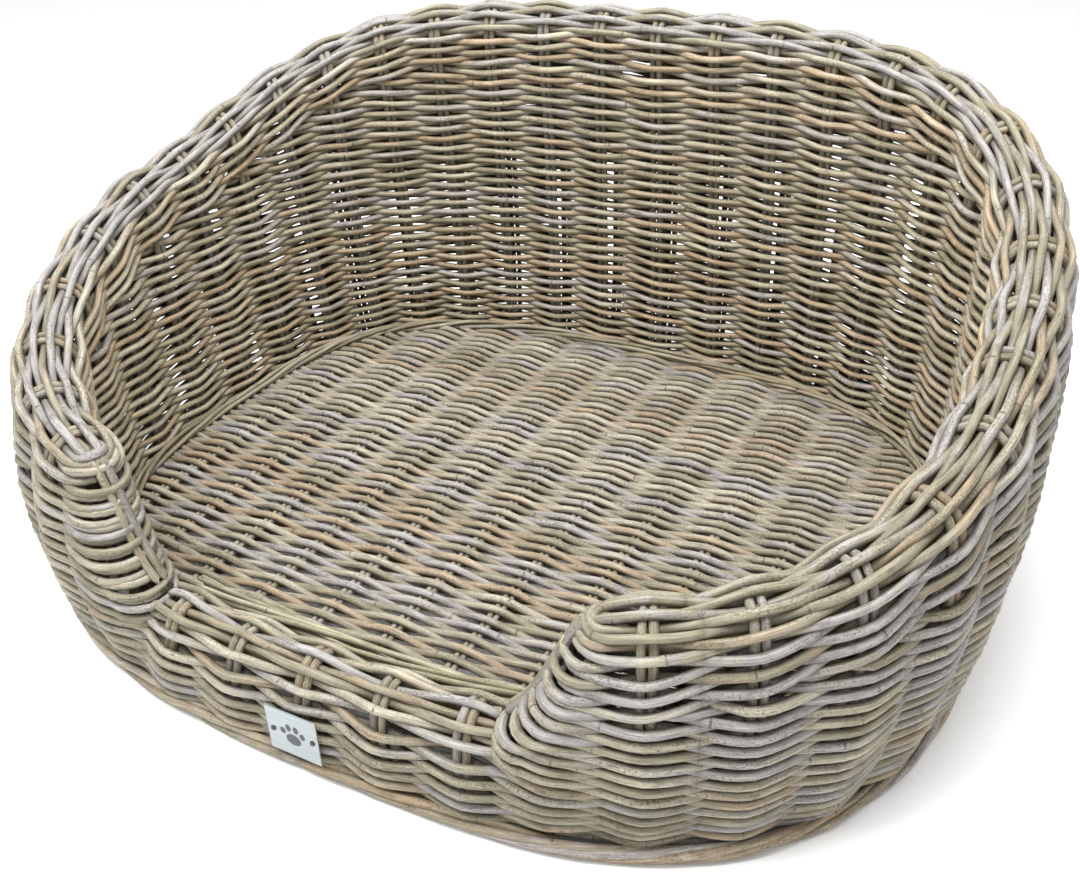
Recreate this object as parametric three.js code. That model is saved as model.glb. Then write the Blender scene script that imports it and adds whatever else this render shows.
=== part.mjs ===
// Wicker pet bed basket: a double-walled oval bed woven from rattan cane, low at the front where the
// animal steps in, high at the back. Millimetres, +Z up, front towards -Y, origin at the middle of
// the footprint on the ground.
import * as THREE from 'three';

// ---- driving dimensions -------------------------------------------------------------------------

// Plan outlines are superellipses: half width, half depth, corner exponent and centre along Y.
const BASE = { halfWidth: 412, halfDepth: 348.5, exponent: 2.7, centreY: 0 };
const FLOOR = { halfWidth: 361, halfDepth: 297, exponent: 2.95, centreY: 3.5 };
const CREST = { halfWidth: 397, halfDepth: 307, exponent: 2.65, centreY: -9.5 };

// Heights of the rim above the ground.
const BACK_TOP = 417;
const ARM_TOP = 187;
const SILL_TOP = 90;
// How slowly the rim starts to rise at the front, and how softly it levels off at the back.
const RIM_RISE_START = 1.4;
const RIM_RISE_EASE = 1.4;

// Where the arms drop to the sill, in degrees round from the middle of the front.
const NOSE_FOOT = 15;
const NOSE_TOP = 26;

// Rounded roll over the walls.
const RIM_RADIUS = 31;
const SILL_RADIUS = 27;

const SKIN = 15;
const INNER_BULGE = 4;
const SILL_BULGE = 4;
const ARM_BULGE = 12;
const GAP = 0.3;

const FLOOR_TOP = 42;
const FLOOR_THICKNESS = 16;
const FLOOR_INSET = 12.5;
const BEARER_RADIUS = 7;
const BEARER_SPACING = 150;
const BEARER_COUNT = 3;

const FOOT_HEIGHT = 13.7;
const FOOT_PROUD = 3;
const FOOT_WIDTH = 23;
const FOOT_CHAMFER = 3;

const HOOP_RADIUS = 6.5;
const RIM_POLE_RADIUS = 13;
const SILL_POLE_RADIUS = 10;
const POST_RADIUS = 6;
const POST_ANGLES = [36, 64, 92, 120, 150];
const BORDER_RADIUS = 4.5;

const PLATE = { width: 44, height: 41, thickness: 1, centreZ: 36.5, holeSpacing: 34, holeRadius: 1.3 };
const NAIL = { headRadius: 2.2, headHeight: 0.8, shankRadius: 1, shankLength: 1.3 };

// ---- materials ----------------------------------------------------------------------------------

const finishes = {
  wallCane: { color: 0xa3967c, roughness: 0.72, metalness: 0 },
  rimCane: { color: 0xaba185, roughness: 0.7, metalness: 0 },
  floorCane: { color: 0xa08d70, roughness: 0.74, metalness: 0 },
  pole: { color: 0xa58a60, roughness: 0.65, metalness: 0 },
  plate: { color: 0xc9ccc8, roughness: 0.38, metalness: 0.9 },
  nail: { color: 0x3e3d3a, roughness: 0.5, metalness: 0.8 },
};

const basket = new THREE.Group();
basket.name = 'wicker_pet_bed_basket';

function addPart(name, geometry, finish) {
  const mesh = new THREE.Mesh(geometry, new THREE.MeshStandardMaterial(finishes[finish]));
  mesh.name = name;
  basket.add(mesh);
  return mesh;
}

// ---- plan curves and heights --------------------------------------------------------------------

// Angles go round from the middle of the front (0) by the right side (90) to the back (180).
function planPoint(outline, angle) {
  const turn = THREE.MathUtils.degToRad(angle - 90);
  const power = 2 / outline.exponent;
  const across = Math.cos(turn);
  const along = Math.sin(turn);
  return new THREE.Vector2(
    outline.halfWidth * Math.sign(across) * Math.abs(across) ** power,
    outline.centreY + outline.halfDepth * Math.sign(along) * Math.abs(along) ** power,
  );
}

function outwardNormal(angle) {
  const point = planPoint(CREST, angle);
  const across = point.x / CREST.halfWidth;
  const along = (point.y - CREST.centreY) / CREST.halfDepth;
  const power = CREST.exponent - 1;
  return new THREE.Vector2(
    (Math.sign(across) * Math.abs(across) ** power) / CREST.halfWidth,
    (Math.sign(along) * Math.abs(along) ** power) / CREST.halfDepth,
  ).normalize();
}

// 0 on the sill, 1 on the arms and the back, smooth down the arm noses between them.
function armShare(angle) {
  const wrapped = Math.abs(((angle + 180) % 360 + 360) % 360 - 180);
  return THREE.MathUtils.smoothstep(wrapped, NOSE_FOOT, NOSE_TOP);
}

function rollRadius(angle) {
  return THREE.MathUtils.lerp(SILL_RADIUS, RIM_RADIUS, armShare(angle));
}

function rollTop(angle) {
  const share = ((1 - Math.cos(THREE.MathUtils.degToRad(angle))) / 2) ** RIM_RISE_START;
  const rise = 1 - (1 - share) ** RIM_RISE_EASE;
  const arm = THREE.MathUtils.lerp(ARM_TOP, BACK_TOP, rise);
  return THREE.MathUtils.lerp(SILL_TOP, arm, armShare(angle));
}

// Height of the roll's centre line, which is also where the straight walls end.
function springHeight(angle) {
  return rollTop(angle) - rollRadius(angle);
}

// A point at a plan outline, moved out along the wall's normal and set at a height.
function wallPoint(outline, angle, offset, height) {
  const normal = outwardNormal(angle);
  const point = planPoint(outline, angle);
  return new THREE.Vector3(point.x + normal.x * offset, point.y + normal.y * offset, height);
}

// ---- lofting ------------------------------------------------------------------------------------

function range(start, end, count) {
  return Array.from({ length: count + 1 }, (_, i) => start + ((end - start) * i) / count);
}

const ARM_STATIONS = 46;
const NOSE_STATIONS = 8;
const SILL_STATIONS = 6;
const JOINT_ANGLE = 0.04;

const sillAngles = range(-NOSE_FOOT, NOSE_FOOT, SILL_STATIONS);
const rightNoseAngles = range(NOSE_FOOT, NOSE_TOP, NOSE_STATIONS);
const armAngles = range(NOSE_TOP, 360 - NOSE_TOP, ARM_STATIONS);
const leftNoseAngles = range(360 - NOSE_TOP, 360 - NOSE_FOOT, NOSE_STATIONS);
const ringAngles = [
  ...sillAngles,
  ...rightNoseAngles.slice(1),
  ...armAngles.slice(1),
  ...leftNoseAngles.slice(1, -1),
];

// Pulls the two end stations in, so that neighbours meet with a narrow joint between them.
function jointed(angles) {
  const inner = angles.slice(1, -1);
  return [angles[0] + JOINT_ANGLE, ...inner, angles[angles.length - 1] - JOINT_ANGLE];
}

function signedVolume(points, faces) {
  const cross = new THREE.Vector3();
  return faces.reduce((sum, [a, b, c]) => {
    cross.crossVectors(points[b], points[c]);
    return sum + points[a].dot(cross);
  }, 0);
}

// Skins a row of sections, each the same number of points round a closed outline. Without a cap
// outline the row closes on itself; with one, both ends are closed by that flat outline.
function loft(sections, capOutline) {
  const size = sections[0].length;
  const points = sections.flat();
  const faces = [];
  const spans = capOutline ? sections.length - 1 : sections.length;
  for (let i = 0; i < spans; i += 1) {
    const here = i * size;
    const next = ((i + 1) % sections.length) * size;
    for (let j = 0; j < size; j += 1) {
      const k = (j + 1) % size;
      faces.push([here + j, next + j, next + k], [here + j, next + k, here + k]);
    }
  }
  if (capOutline) {
    const last = (sections.length - 1) * size;
    const turned = THREE.ShapeUtils.isClockWise(capOutline);
    THREE.ShapeUtils.triangulateShape(capOutline, []).forEach(([a, b, c]) => {
      const cap = turned ? [a, c, b] : [a, b, c];
      faces.push(cap);
      faces.push([last + cap[0], last + cap[2], last + cap[1]]);
    });
  }
  if (signedVolume(points, faces) < 0) {
    faces.forEach((face) => face.reverse());
  }
  const geometry = new THREE.BufferGeometry();
  geometry.setAttribute('position', new THREE.Float32BufferAttribute(points.flatMap((p) => p.toArray()), 3));
  geometry.setIndex(faces.flat());
  geometry.computeVertexNormals();
  return geometry;
}

// A round pole along a row of centre points, each with the wall's outward direction there.
function poleSections(centres, normals, radius, sides) {
  return centres.map((centre, i) => {
    const before = centres[Math.max(i - 1, 0)];
    const after = centres[Math.min(i + 1, centres.length - 1)];
    const tangent = after.clone().sub(before).normalize();
    const up = tangent.clone().cross(normals[i]).normalize();
    const side = up.clone().cross(tangent).normalize();
    return range(0, 2 * Math.PI, sides).slice(0, sides).map((turn) => (
      centre.clone()
        .addScaledVector(side, radius * Math.cos(turn))
        .addScaledVector(up, radius * Math.sin(turn))
    ));
  });
}

function roundOutline(radius, sides) {
  return range(0, 2 * Math.PI, sides).slice(0, sides)
    .map((turn) => new THREE.Vector2(radius * Math.cos(turn), radius * Math.sin(turn)));
}

// ---- woven walls --------------------------------------------------------------------------------

const WALL_LEVELS = 3;

// One woven skin: it stands on its outline, bulges a little and ends at the roll's centre line.
function wallSection(angle, outline, bottom, side) {
  const top = springHeight(angle) - GAP;
  const footFace = wallPoint(outline, angle, 0, bottom);
  const headFace = wallPoint(CREST, angle, side * rollRadius(angle), top);
  const thickness = outwardNormal(angle).multiplyScalar(-side * SKIN);
  const outerBulge = THREE.MathUtils.lerp(SILL_BULGE, ARM_BULGE, armShare(angle));
  const middleBulge = side > 0 ? outerBulge : INNER_BULGE;
  const face = range(0, 1, WALL_LEVELS).map((share) => {
    const bulge = outwardNormal(angle).multiplyScalar(middleBulge * 4 * share * (1 - share));
    const point = footFace.clone().lerp(headFace, share);
    return new THREE.Vector3(point.x + bulge.x, point.y + bulge.y, point.z);
  });
  const back = face.map((p) => new THREE.Vector3(p.x + thickness.x, p.y + thickness.y, p.z));
  return [...face, ...back.reverse()];
}

function makeOuterWall() {
  const sections = ringAngles.map((angle) => wallSection(angle, BASE, FOOT_HEIGHT + GAP, 1));
  addPart('outer_wall', loft(sections), 'wallCane');
}

function makeInnerWall() {
  const bottom = FLOOR_TOP - FLOOR_THICKNESS + GAP;
  const sections = ringAngles.map((angle) => wallSection(angle, FLOOR, bottom, -1));
  addPart('inner_wall', loft(sections), 'wallCane');
}

// ---- rolled rim, noses and sill -----------------------------------------------------------------

const ROLL_STEPS = 6;

function rollOutline(angle) {
  const radius = rollRadius(angle);
  const arc = (r) => range(0, Math.PI, ROLL_STEPS)
    .map((turn) => new THREE.Vector2(r * Math.cos(turn), r * Math.sin(turn)));
  return [...arc(radius), ...arc(radius - SKIN).reverse()];
}

function rollSection(angle) {
  return rollOutline(angle).map((p) => (
    wallPoint(CREST, angle, p.x, springHeight(angle) + GAP + p.y)
  ));
}

function makeRoll(name, angles) {
  addPart(name, loft(jointed(angles).map(rollSection), rollOutline(angles[0])), 'rimCane');
}

function makeSillBinding() {
  const angles = range(-NOSE_FOOT + 1, NOSE_FOOT - 1, SILL_STATIONS);
  const offset = -(SILL_RADIUS + BORDER_RADIUS + GAP);
  const centres = angles.map((angle) => wallPoint(CREST, angle, offset, springHeight(0) + BORDER_RADIUS));
  const normals = angles.map((angle) => outwardNormal(angle)).map((n) => new THREE.Vector3(n.x, n.y, 0));
  const sections = poleSections(centres, normals, BORDER_RADIUS, 8);
  addPart('sill_inner_binding', loft(sections, roundOutline(BORDER_RADIUS, 8)), 'rimCane');
}

// ---- floor and foot -----------------------------------------------------------------------------

function makeFloorPanel() {
  const outline = ringAngles.map((angle) => wallPoint(FLOOR, angle, -FLOOR_INSET, 0))
    .map((p) => new THREE.Vector2(p.x, p.y));
  const panel = new THREE.ExtrudeGeometry(new THREE.Shape(outline), {
    depth: FLOOR_THICKNESS, bevelEnabled: false,
  });
  const mesh = addPart('floor_panel', panel, 'floorCane');
  mesh.position.z = FLOOR_TOP - FLOOR_THICKNESS;
}

function makeFloorBorder() {
  const offset = -(FLOOR_INSET - BORDER_RADIUS - GAP);
  const sections = ringAngles.map((angle) => (
    roundOutline(BORDER_RADIUS, 6).map((p) => wallPoint(FLOOR, angle, offset + p.x, FLOOR_TOP + p.y))
  ));
  addPart('floor_border', loft(sections), 'floorCane');
}

function makeFootBorder() {
  const outline = [
    [FOOT_PROUD - FOOT_WIDTH, 0],
    [FOOT_PROUD - FOOT_CHAMFER, 0],
    [FOOT_PROUD, FOOT_CHAMFER],
    [FOOT_PROUD, FOOT_HEIGHT - FOOT_CHAMFER],
    [FOOT_PROUD - FOOT_CHAMFER, FOOT_HEIGHT],
    [FOOT_PROUD - FOOT_WIDTH, FOOT_HEIGHT],
  ];
  const sections = ringAngles.map((angle) => (
    outline.map(([offset, height]) => wallPoint(BASE, angle, offset, height))
  ));
  addPart('foot_border', loft(sections), 'wallCane');
}

// ---- poles inside the walls and under the floor -------------------------------------------------

// The hoop runs in the middle of the hollow between the two walls.
const HOOP = {
  halfWidth: (BASE.halfWidth + FLOOR.halfWidth) / 2,
  halfDepth: (BASE.halfDepth + FLOOR.halfDepth) / 2,
  exponent: (BASE.exponent + FLOOR.exponent) / 2,
  centreY: (BASE.centreY + FLOOR.centreY) / 2,
};
const HOOP_CENTRE_Z = FOOT_HEIGHT + 3 * GAP + HOOP_RADIUS;

function makeBaseHoop() {
  const sections = ringAngles.map((angle) => (
    roundOutline(HOOP_RADIUS, 8).map((p) => wallPoint(HOOP, angle, p.x, HOOP_CENTRE_Z + p.y))
  ));
  addPart('base_hoop', loft(sections), 'pole');
}

// Half width of the room inside the hoop at a distance along Y.
function roomInsideHoop(y) {
  const along = Math.abs(y - HOOP.centreY) / HOOP.halfDepth;
  return HOOP.halfWidth * (1 - along ** HOOP.exponent) ** (1 / HOOP.exponent) - HOOP_RADIUS;
}

function makeFloorBearers() {
  const centreZ = FLOOR_TOP - FLOOR_THICKNESS - GAP - BEARER_RADIUS;
  for (let i = 0; i < BEARER_COUNT; i += 1) {
    const y = FLOOR.centreY + (i - (BEARER_COUNT - 1) / 2) * BEARER_SPACING;
    const reach = Math.min(roomInsideHoop(y - BEARER_RADIUS), roomInsideHoop(y + BEARER_RADIUS)) - 4 * GAP;
    const bearer = new THREE.CylinderGeometry(BEARER_RADIUS, BEARER_RADIUS, 2 * reach, 12);
    bearer.rotateZ(Math.PI / 2);
    const mesh = addPart(`floor_bearer_${i + 1}`, bearer, 'pole');
    mesh.position.set(0, y, centreZ);
  }
}

function makePole(name, angles, radius) {
  const centres = angles.map((angle) => wallPoint(CREST, angle, 0, springHeight(angle)));
  const normals = angles.map((angle) => outwardNormal(angle)).map((n) => new THREE.Vector3(n.x, n.y, 0));
  const sections = poleSections(centres, normals, radius, 8);
  addPart(name, loft(sections, roundOutline(radius, 8)), 'pole');
}

// A post stands on the hoop, leans with the wall and ends just under the rim pole's slope.
function makePost(name, angle) {
  const foot = wallPoint(HOOP, angle, 0, HOOP_CENTRE_Z + HOOP_RADIUS + GAP);
  const head = wallPoint(CREST, angle, 0, springHeight(angle));
  const before = wallPoint(CREST, angle - 1, 0, springHeight(angle - 1));
  const after = wallPoint(CREST, angle + 1, 0, springHeight(angle + 1));
  const tangent = after.sub(before);
  const run = Math.hypot(tangent.x, tangent.y);
  const slope = tangent.z / run;
  const drop = RIM_POLE_RADIUS * Math.hypot(1, slope) + 2 * GAP;
  const ring = roundOutline(POST_RADIUS, 8);
  const bottom = ring.map((p) => new THREE.Vector3(foot.x + p.x, foot.y + p.y, foot.z));
  const top = ring.map((p) => {
    const along = (p.x * tangent.x + p.y * tangent.y) / run;
    return new THREE.Vector3(head.x + p.x, head.y + p.y, head.z - drop + slope * along);
  });
  addPart(name, loft([bottom, top], ring), 'pole');
}

function makePosts() {
  POST_ANGLES.forEach((angle, i) => {
    makePost(`wall_post_right_${i + 1}`, angle);
    makePost(`wall_post_left_${i + 1}`, 360 - angle);
  });
  makePost('wall_post_back', 180);
}

// ---- plate and nails ----------------------------------------------------------------------------

// The plate lies against the most forward part of the outer wall, in the middle of the front.
const wallFrontY = Math.min(...wallSection(0, BASE, FOOT_HEIGHT + GAP, 1).map((p) => p.y));
const PLATE_BACK_Y = wallFrontY - GAP;

function makePlate() {
  const shape = new THREE.Shape([
    new THREE.Vector2(-PLATE.width / 2, -PLATE.height / 2),
    new THREE.Vector2(PLATE.width / 2, -PLATE.height / 2),
    new THREE.Vector2(PLATE.width / 2, PLATE.height / 2),
    new THREE.Vector2(-PLATE.width / 2, PLATE.height / 2),
  ]);
  [-1, 1].forEach((side) => {
    const hole = new THREE.Path();
    hole.absarc((side * PLATE.holeSpacing) / 2, 0, PLATE.holeRadius, 0, 2 * Math.PI, true);
    shape.holes.push(hole);
  });
  const plate = new THREE.ExtrudeGeometry(shape, {
    depth: PLATE.thickness, bevelEnabled: false, curveSegments: 10,
  });
  plate.rotateX(Math.PI / 2);
  const mesh = addPart('name_plate', plate, 'plate');
  mesh.position.set(0, PLATE_BACK_Y, PLATE.centreZ);
}

function makeNail(name, side) {
  const outline = [
    [0, 0],
    [NAIL.shankRadius, 0],
    [NAIL.shankRadius, NAIL.shankLength],
    [NAIL.headRadius, NAIL.shankLength],
    [NAIL.headRadius * 0.7, NAIL.shankLength + NAIL.headHeight],
    [0, NAIL.shankLength + NAIL.headHeight],
  ].map(([x, y]) => new THREE.Vector2(x, y));
  const nail = new THREE.LatheGeometry(outline, 12);
  nail.rotateX(Math.PI);
  const mesh = addPart(name, nail, 'nail');
  mesh.position.set((side * PLATE.holeSpacing) / 2, PLATE_BACK_Y, PLATE.centreZ);
}

// ---- assembly -----------------------------------------------------------------------------------

makeFootBorder();
makeBaseHoop();
makeFloorBearers();
makeFloorPanel();
makeFloorBorder();
makeOuterWall();
makeInnerWall();
makePosts();
makePole('rim_pole', range(NOSE_TOP + 4, 360 - NOSE_TOP - 4, 44), RIM_POLE_RADIUS);
makePole('sill_pole', range(-NOSE_FOOT + 1, NOSE_FOOT - 1, 6), SILL_POLE_RADIUS);
makeRoll('rolled_rim', armAngles);
makeRoll('right_arm_nose', rightNoseAngles);
makeRoll('left_arm_nose', leftNoseAngles);
makeRoll('sill_cover', sillAngles);
makeSillBinding();
makePlate();
makeNail('plate_nail_left', -1);
makeNail('plate_nail_right', 1);

export default basket;
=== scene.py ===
import math

import bpy
import numpy as np
from bpy.props import FloatProperty, FloatVectorProperty, IntProperty, PointerProperty
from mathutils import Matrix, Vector


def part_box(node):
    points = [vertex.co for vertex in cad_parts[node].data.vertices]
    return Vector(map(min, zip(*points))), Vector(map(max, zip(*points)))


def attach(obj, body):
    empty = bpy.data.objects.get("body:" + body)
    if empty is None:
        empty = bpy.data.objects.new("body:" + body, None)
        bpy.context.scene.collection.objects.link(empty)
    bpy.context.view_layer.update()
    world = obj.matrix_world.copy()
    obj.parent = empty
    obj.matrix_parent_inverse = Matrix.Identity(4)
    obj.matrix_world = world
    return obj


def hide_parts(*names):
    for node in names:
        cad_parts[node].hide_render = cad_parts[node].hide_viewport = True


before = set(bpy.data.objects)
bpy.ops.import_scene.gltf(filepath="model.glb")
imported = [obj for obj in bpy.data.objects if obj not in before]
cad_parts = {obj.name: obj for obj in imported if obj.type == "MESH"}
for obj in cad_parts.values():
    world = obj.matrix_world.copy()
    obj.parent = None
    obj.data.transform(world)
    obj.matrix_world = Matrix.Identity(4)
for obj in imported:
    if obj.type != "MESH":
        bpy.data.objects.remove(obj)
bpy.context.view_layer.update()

bl_info = {
    "name": "Wicker Pet Bed Basket",
    "version": (1, 0, 0),
    "blender": (4, 5, 0),
    "location": "3D View > Sidebar > Basket",
    "description": "Weaves an oval double-walled cane pet bed round its frame",
    "category": "Object",
}

MM = 0.001

# ---- the basket's outlines and heights, read from the frame --------------------------------------

RIM_RADIUS = 31 * MM
SILL_RADIUS = 27 * MM
INNER_BULGE = 4 * MM
SILL_BULGE = 4 * MM
ARM_BULGE = 12 * MM
FOOT_PROUD = 3 * MM
FLOOR_INSET = 12.5 * MM
JOINT_GAP = 0.3 * MM
RISE_START = 1.4
RISE_EASE = 1.4
NOSE_FOOT = math.radians(15)
NOSE_TOP = math.radians(26)


class Outline:
    """A superellipse in plan: half width, half depth, corner exponent and centre along Y."""

    def __init__(self, half_width, low_y, high_y, exponent):
        self.half_width = half_width
        self.half_depth = (high_y - low_y) / 2
        self.centre_y = (high_y + low_y) / 2
        self.exponent = exponent

    def points(self, angle):
        """Plan points at angles that go from the middle of the front round by the right."""
        power = 2 / self.exponent
        across = np.sin(angle)
        along = -np.cos(angle)
        x = self.half_width * np.sign(across) * np.abs(across) ** power
        y = self.half_depth * np.sign(along) * np.abs(along) ** power
        return np.stack([x, y + self.centre_y], axis=-1)

    def normals(self, angle):
        plan = self.points(angle)
        across = plan[..., 0] / self.half_width
        along = (plan[..., 1] - self.centre_y) / self.half_depth
        power = self.exponent - 1
        x = np.sign(across) * np.abs(across) ** power / self.half_width
        y = np.sign(along) * np.abs(along) ** power / self.half_depth
        return np.stack([x, y], axis=-1) / np.hypot(x, y)[..., None]

    def half_width_at(self, y):
        share = np.clip(np.abs(y - self.centre_y) / self.half_depth, 0, 1)
        return self.half_width * (1 - share**self.exponent) ** (1 / self.exponent)

    def half_depth_at(self, x):
        share = np.clip(np.abs(x) / self.half_width, 0, 1)
        return self.half_depth * (1 - share**self.exponent) ** (1 / self.exponent)


rim_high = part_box("rolled_rim")[1]
nose_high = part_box("right_arm_nose")[1]
sill_low, sill_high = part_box("sill_cover")
foot_low, foot_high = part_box("foot_border")
floor_low, floor_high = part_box("floor_panel")

BASE = Outline(foot_high.x - FOOT_PROUD, foot_low.y + FOOT_PROUD, foot_high.y - FOOT_PROUD, 2.7)
FLOOR = Outline(floor_high.x + FLOOR_INSET, floor_low.y - FLOOR_INSET, floor_high.y + FLOOR_INSET, 2.95)
CREST = Outline(rim_high.x - RIM_RADIUS, sill_low.y + SILL_RADIUS, rim_high.y - RIM_RADIUS, 2.65)

BACK_TOP = rim_high.z - JOINT_GAP
SILL_TOP = sill_high.z - JOINT_GAP
FLOOR_TOP = floor_high.z


def rim_rise(angle):
    """0 in the middle of the front, 1 at the back: slow at first and levelling off at the end."""
    share = ((1 - np.cos(angle)) / 2) ** RISE_START
    return 1 - (1 - share) ** RISE_EASE


NOSE_RISE = float(rim_rise(NOSE_TOP))
NOSE_HEAD = nose_high.z - JOINT_GAP
ARM_TOP = (NOSE_HEAD - BACK_TOP * NOSE_RISE) / (1 - NOSE_RISE)
SILL_SPRING = SILL_TOP - SILL_RADIUS


def arm_spring(angle):
    """Height of the rim roll's centre line, with the arms carried on over the entry."""
    return ARM_TOP + (BACK_TOP - ARM_TOP) * rim_rise(angle) - RIM_RADIUS


def smooth(share):
    """Eases a share from 0 to 1 in and out."""
    share = np.clip(share, 0, 1)
    return share * share * (3 - 2 * share)


def arm_share(angle):
    """0 over the sill, 1 on the arms and the back, smooth down the arm noses."""
    wrapped = np.abs((angle + math.pi) % (2 * math.pi) - math.pi)
    return smooth((wrapped - NOSE_FOOT) / (NOSE_TOP - NOSE_FOOT))


def lengths_along(points):
    """Distance of each point from the first, along the line."""
    steps = np.linalg.norm(np.diff(points, axis=0), axis=1)
    return np.concatenate([[0], np.cumsum(steps)])


# Distance along the rim's plan curve, from the middle of the front round by the right.
ANGLES = np.linspace(0, 2 * math.pi, 7201)
ARC = lengths_along(CREST.points(ANGLES))
PERIMETER = ARC[-1]


def angle_at(arc):
    turns = np.floor(arc / PERIMETER)
    return np.interp(arc - turns * PERIMETER, ARC, ANGLES) + turns * 2 * math.pi


def arc_at(angle):
    return np.interp(angle, ANGLES, ARC)


# ---- where the stakes stand ----------------------------------------------------------------------

STAKES = 38
BACK_STAKE = STAKES // 2
NOSE_STAKE = 3
FIRST_RIM_STAKE = 4
SILL_STAKE_SPACING = 62 * MM
NOSE_STAKE_ARC = 180 * MM
FIRST_RIM_STAKE_ARC = 240 * MM


def make_stake_arcs():
    """Arc of each stake pair: five on the sill, one down each nose, the rest round the arms."""
    right = [i * SILL_STAKE_SPACING for i in range(NOSE_STAKE)] + [NOSE_STAKE_ARC]
    count = BACK_STAKE - FIRST_RIM_STAKE
    step = (PERIMETER / 2 - FIRST_RIM_STAKE_ARC) / count
    right += [FIRST_RIM_STAKE_ARC + i * step for i in range(count + 1)]
    return np.array(right + [PERIMETER - arc for arc in right[-2::-1]])


STAKE_ARCS = make_stake_arcs()
STAKE_NUMBERS = np.arange(len(STAKE_ARCS))


def arc_of_stake(number):
    """Arc at a stake number, which may lie between two stakes."""
    turns = np.floor(number / STAKES)
    return np.interp(number - turns * STAKES, STAKE_NUMBERS, STAKE_ARCS) + turns * PERIMETER


def stake_at_arc(arc):
    return np.interp(arc, STAKE_ARCS, STAKE_NUMBERS)


# ---- sizes and colours that a user would change --------------------------------------------------


def length(name, description, millimetres):
    return FloatProperty(name=name, description=description, default=millimetres * MM, unit="LENGTH")


def colour(name, description, red, green, blue):
    return FloatVectorProperty(
        name=name, description=description, subtype="COLOR", size=3, default=(red, green, blue)
    )


class BasketSizes(bpy.types.PropertyGroup):
    weaver: length("Weaver", "Diameter of the wall canes", 6.3)
    rim_cane: length("Rim cane", "Diameter of the canes on the rim", 6.5)
    stake: length("Stake", "Diameter of one cane of a stake pair", 6.2)
    floor_cane: length("Floor cane", "Diameter of the floor canes", 6.7)
    floor_stake: length("Floor stake", "Diameter of the rods under the floor canes", 5.2)
    row_pitch: length("Row pitch", "Height from one low row to the next", 5.2)
    back_pitch: length("Back pitch", "Height from one row to the next at the back", 5.6)
    floor_pitch: length("Floor pitch", "Distance between floor canes", 6.3)
    weave_depth: length("Weave depth", "From the wall's face to the middle of its weave", 9.0)
    seed: IntProperty(name="Seed", description="Seed of every random draw", default=11)


class BasketColours(bpy.types.PropertyGroup):
    # Shade is the colour of stains and dark specks; darkened, it is also the colour of the painted shade
    # in recesses and between canes.
    shade: colour("Shade", "Darkest cane", 0.075, 0.058, 0.036)
    khaki: colour("Khaki", "Olive khaki cane", 0.265, 0.243, 0.170)
    straw: colour("Straw", "Pale straw cane", 0.415, 0.388, 0.300)
    lilac: colour("Lilac grey", "Weathered lilac grey cane", 0.345, 0.334, 0.334)
    tan: colour("Tan", "Orange tan cane", 0.370, 0.272, 0.176)
    pole: colour("Pole", "Thick hidden poles", 0.330, 0.230, 0.125)
    plate: colour("Plate", "Metal plate", 0.35, 0.385, 0.40)


class StageSettings(bpy.types.PropertyGroup):
    azimuth: FloatProperty(
        name="Azimuth", description="Camera angle round the basket", default=math.radians(25.908),
        subtype="ANGLE",
    )
    elevation: FloatProperty(
        name="Elevation", description="Camera angle above the floor", default=math.radians(31.493),
        subtype="ANGLE",
    )
    distance: FloatProperty(
        name="Distance", description="Camera to the point it looks at", default=0.878, unit="LENGTH"
    )
    target: FloatVectorProperty(
        name="Target", description="Point that the camera looks at", size=3, subtype="XYZ",
        default=(0.088, -0.0695, 0.150),
    )
    lens: FloatProperty(name="Lens", description="Focal length in millimetres", default=35.9)
    shift: FloatProperty(name="Shift", description="Sideways lens shift", default=-0.0391)
    key_light: FloatProperty(name="Key light", description="Power of the key light", default=27.0)
    fill_light: FloatProperty(name="Top light", description="Power of the light overhead", default=34.0)
    world_light: FloatProperty(name="World light", description="Strength of the room light", default=0.97)


# ---- cane making ---------------------------------------------------------------------------------

CANE_SIDES = 8
CLOSEST_POINTS = 1.2 * MM
KNOT_REACH = 4 * MM
KNOT_SWELL = 0.10
KNOT_SPACING = (0.13, 0.34)
INSIDE_THINNING = 0.05
THINNEST_END = 0.72
END_TAPER = 20 * MM


def unit(vectors):
    return vectors / np.maximum(np.linalg.norm(vectors, axis=-1, keepdims=True), 1e-12)


def resample(stations, lengths, columns):
    """Values at new stations along a line, column by column."""
    return np.stack([np.interp(stations, lengths, column) for column in columns.T], axis=1)


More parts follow.
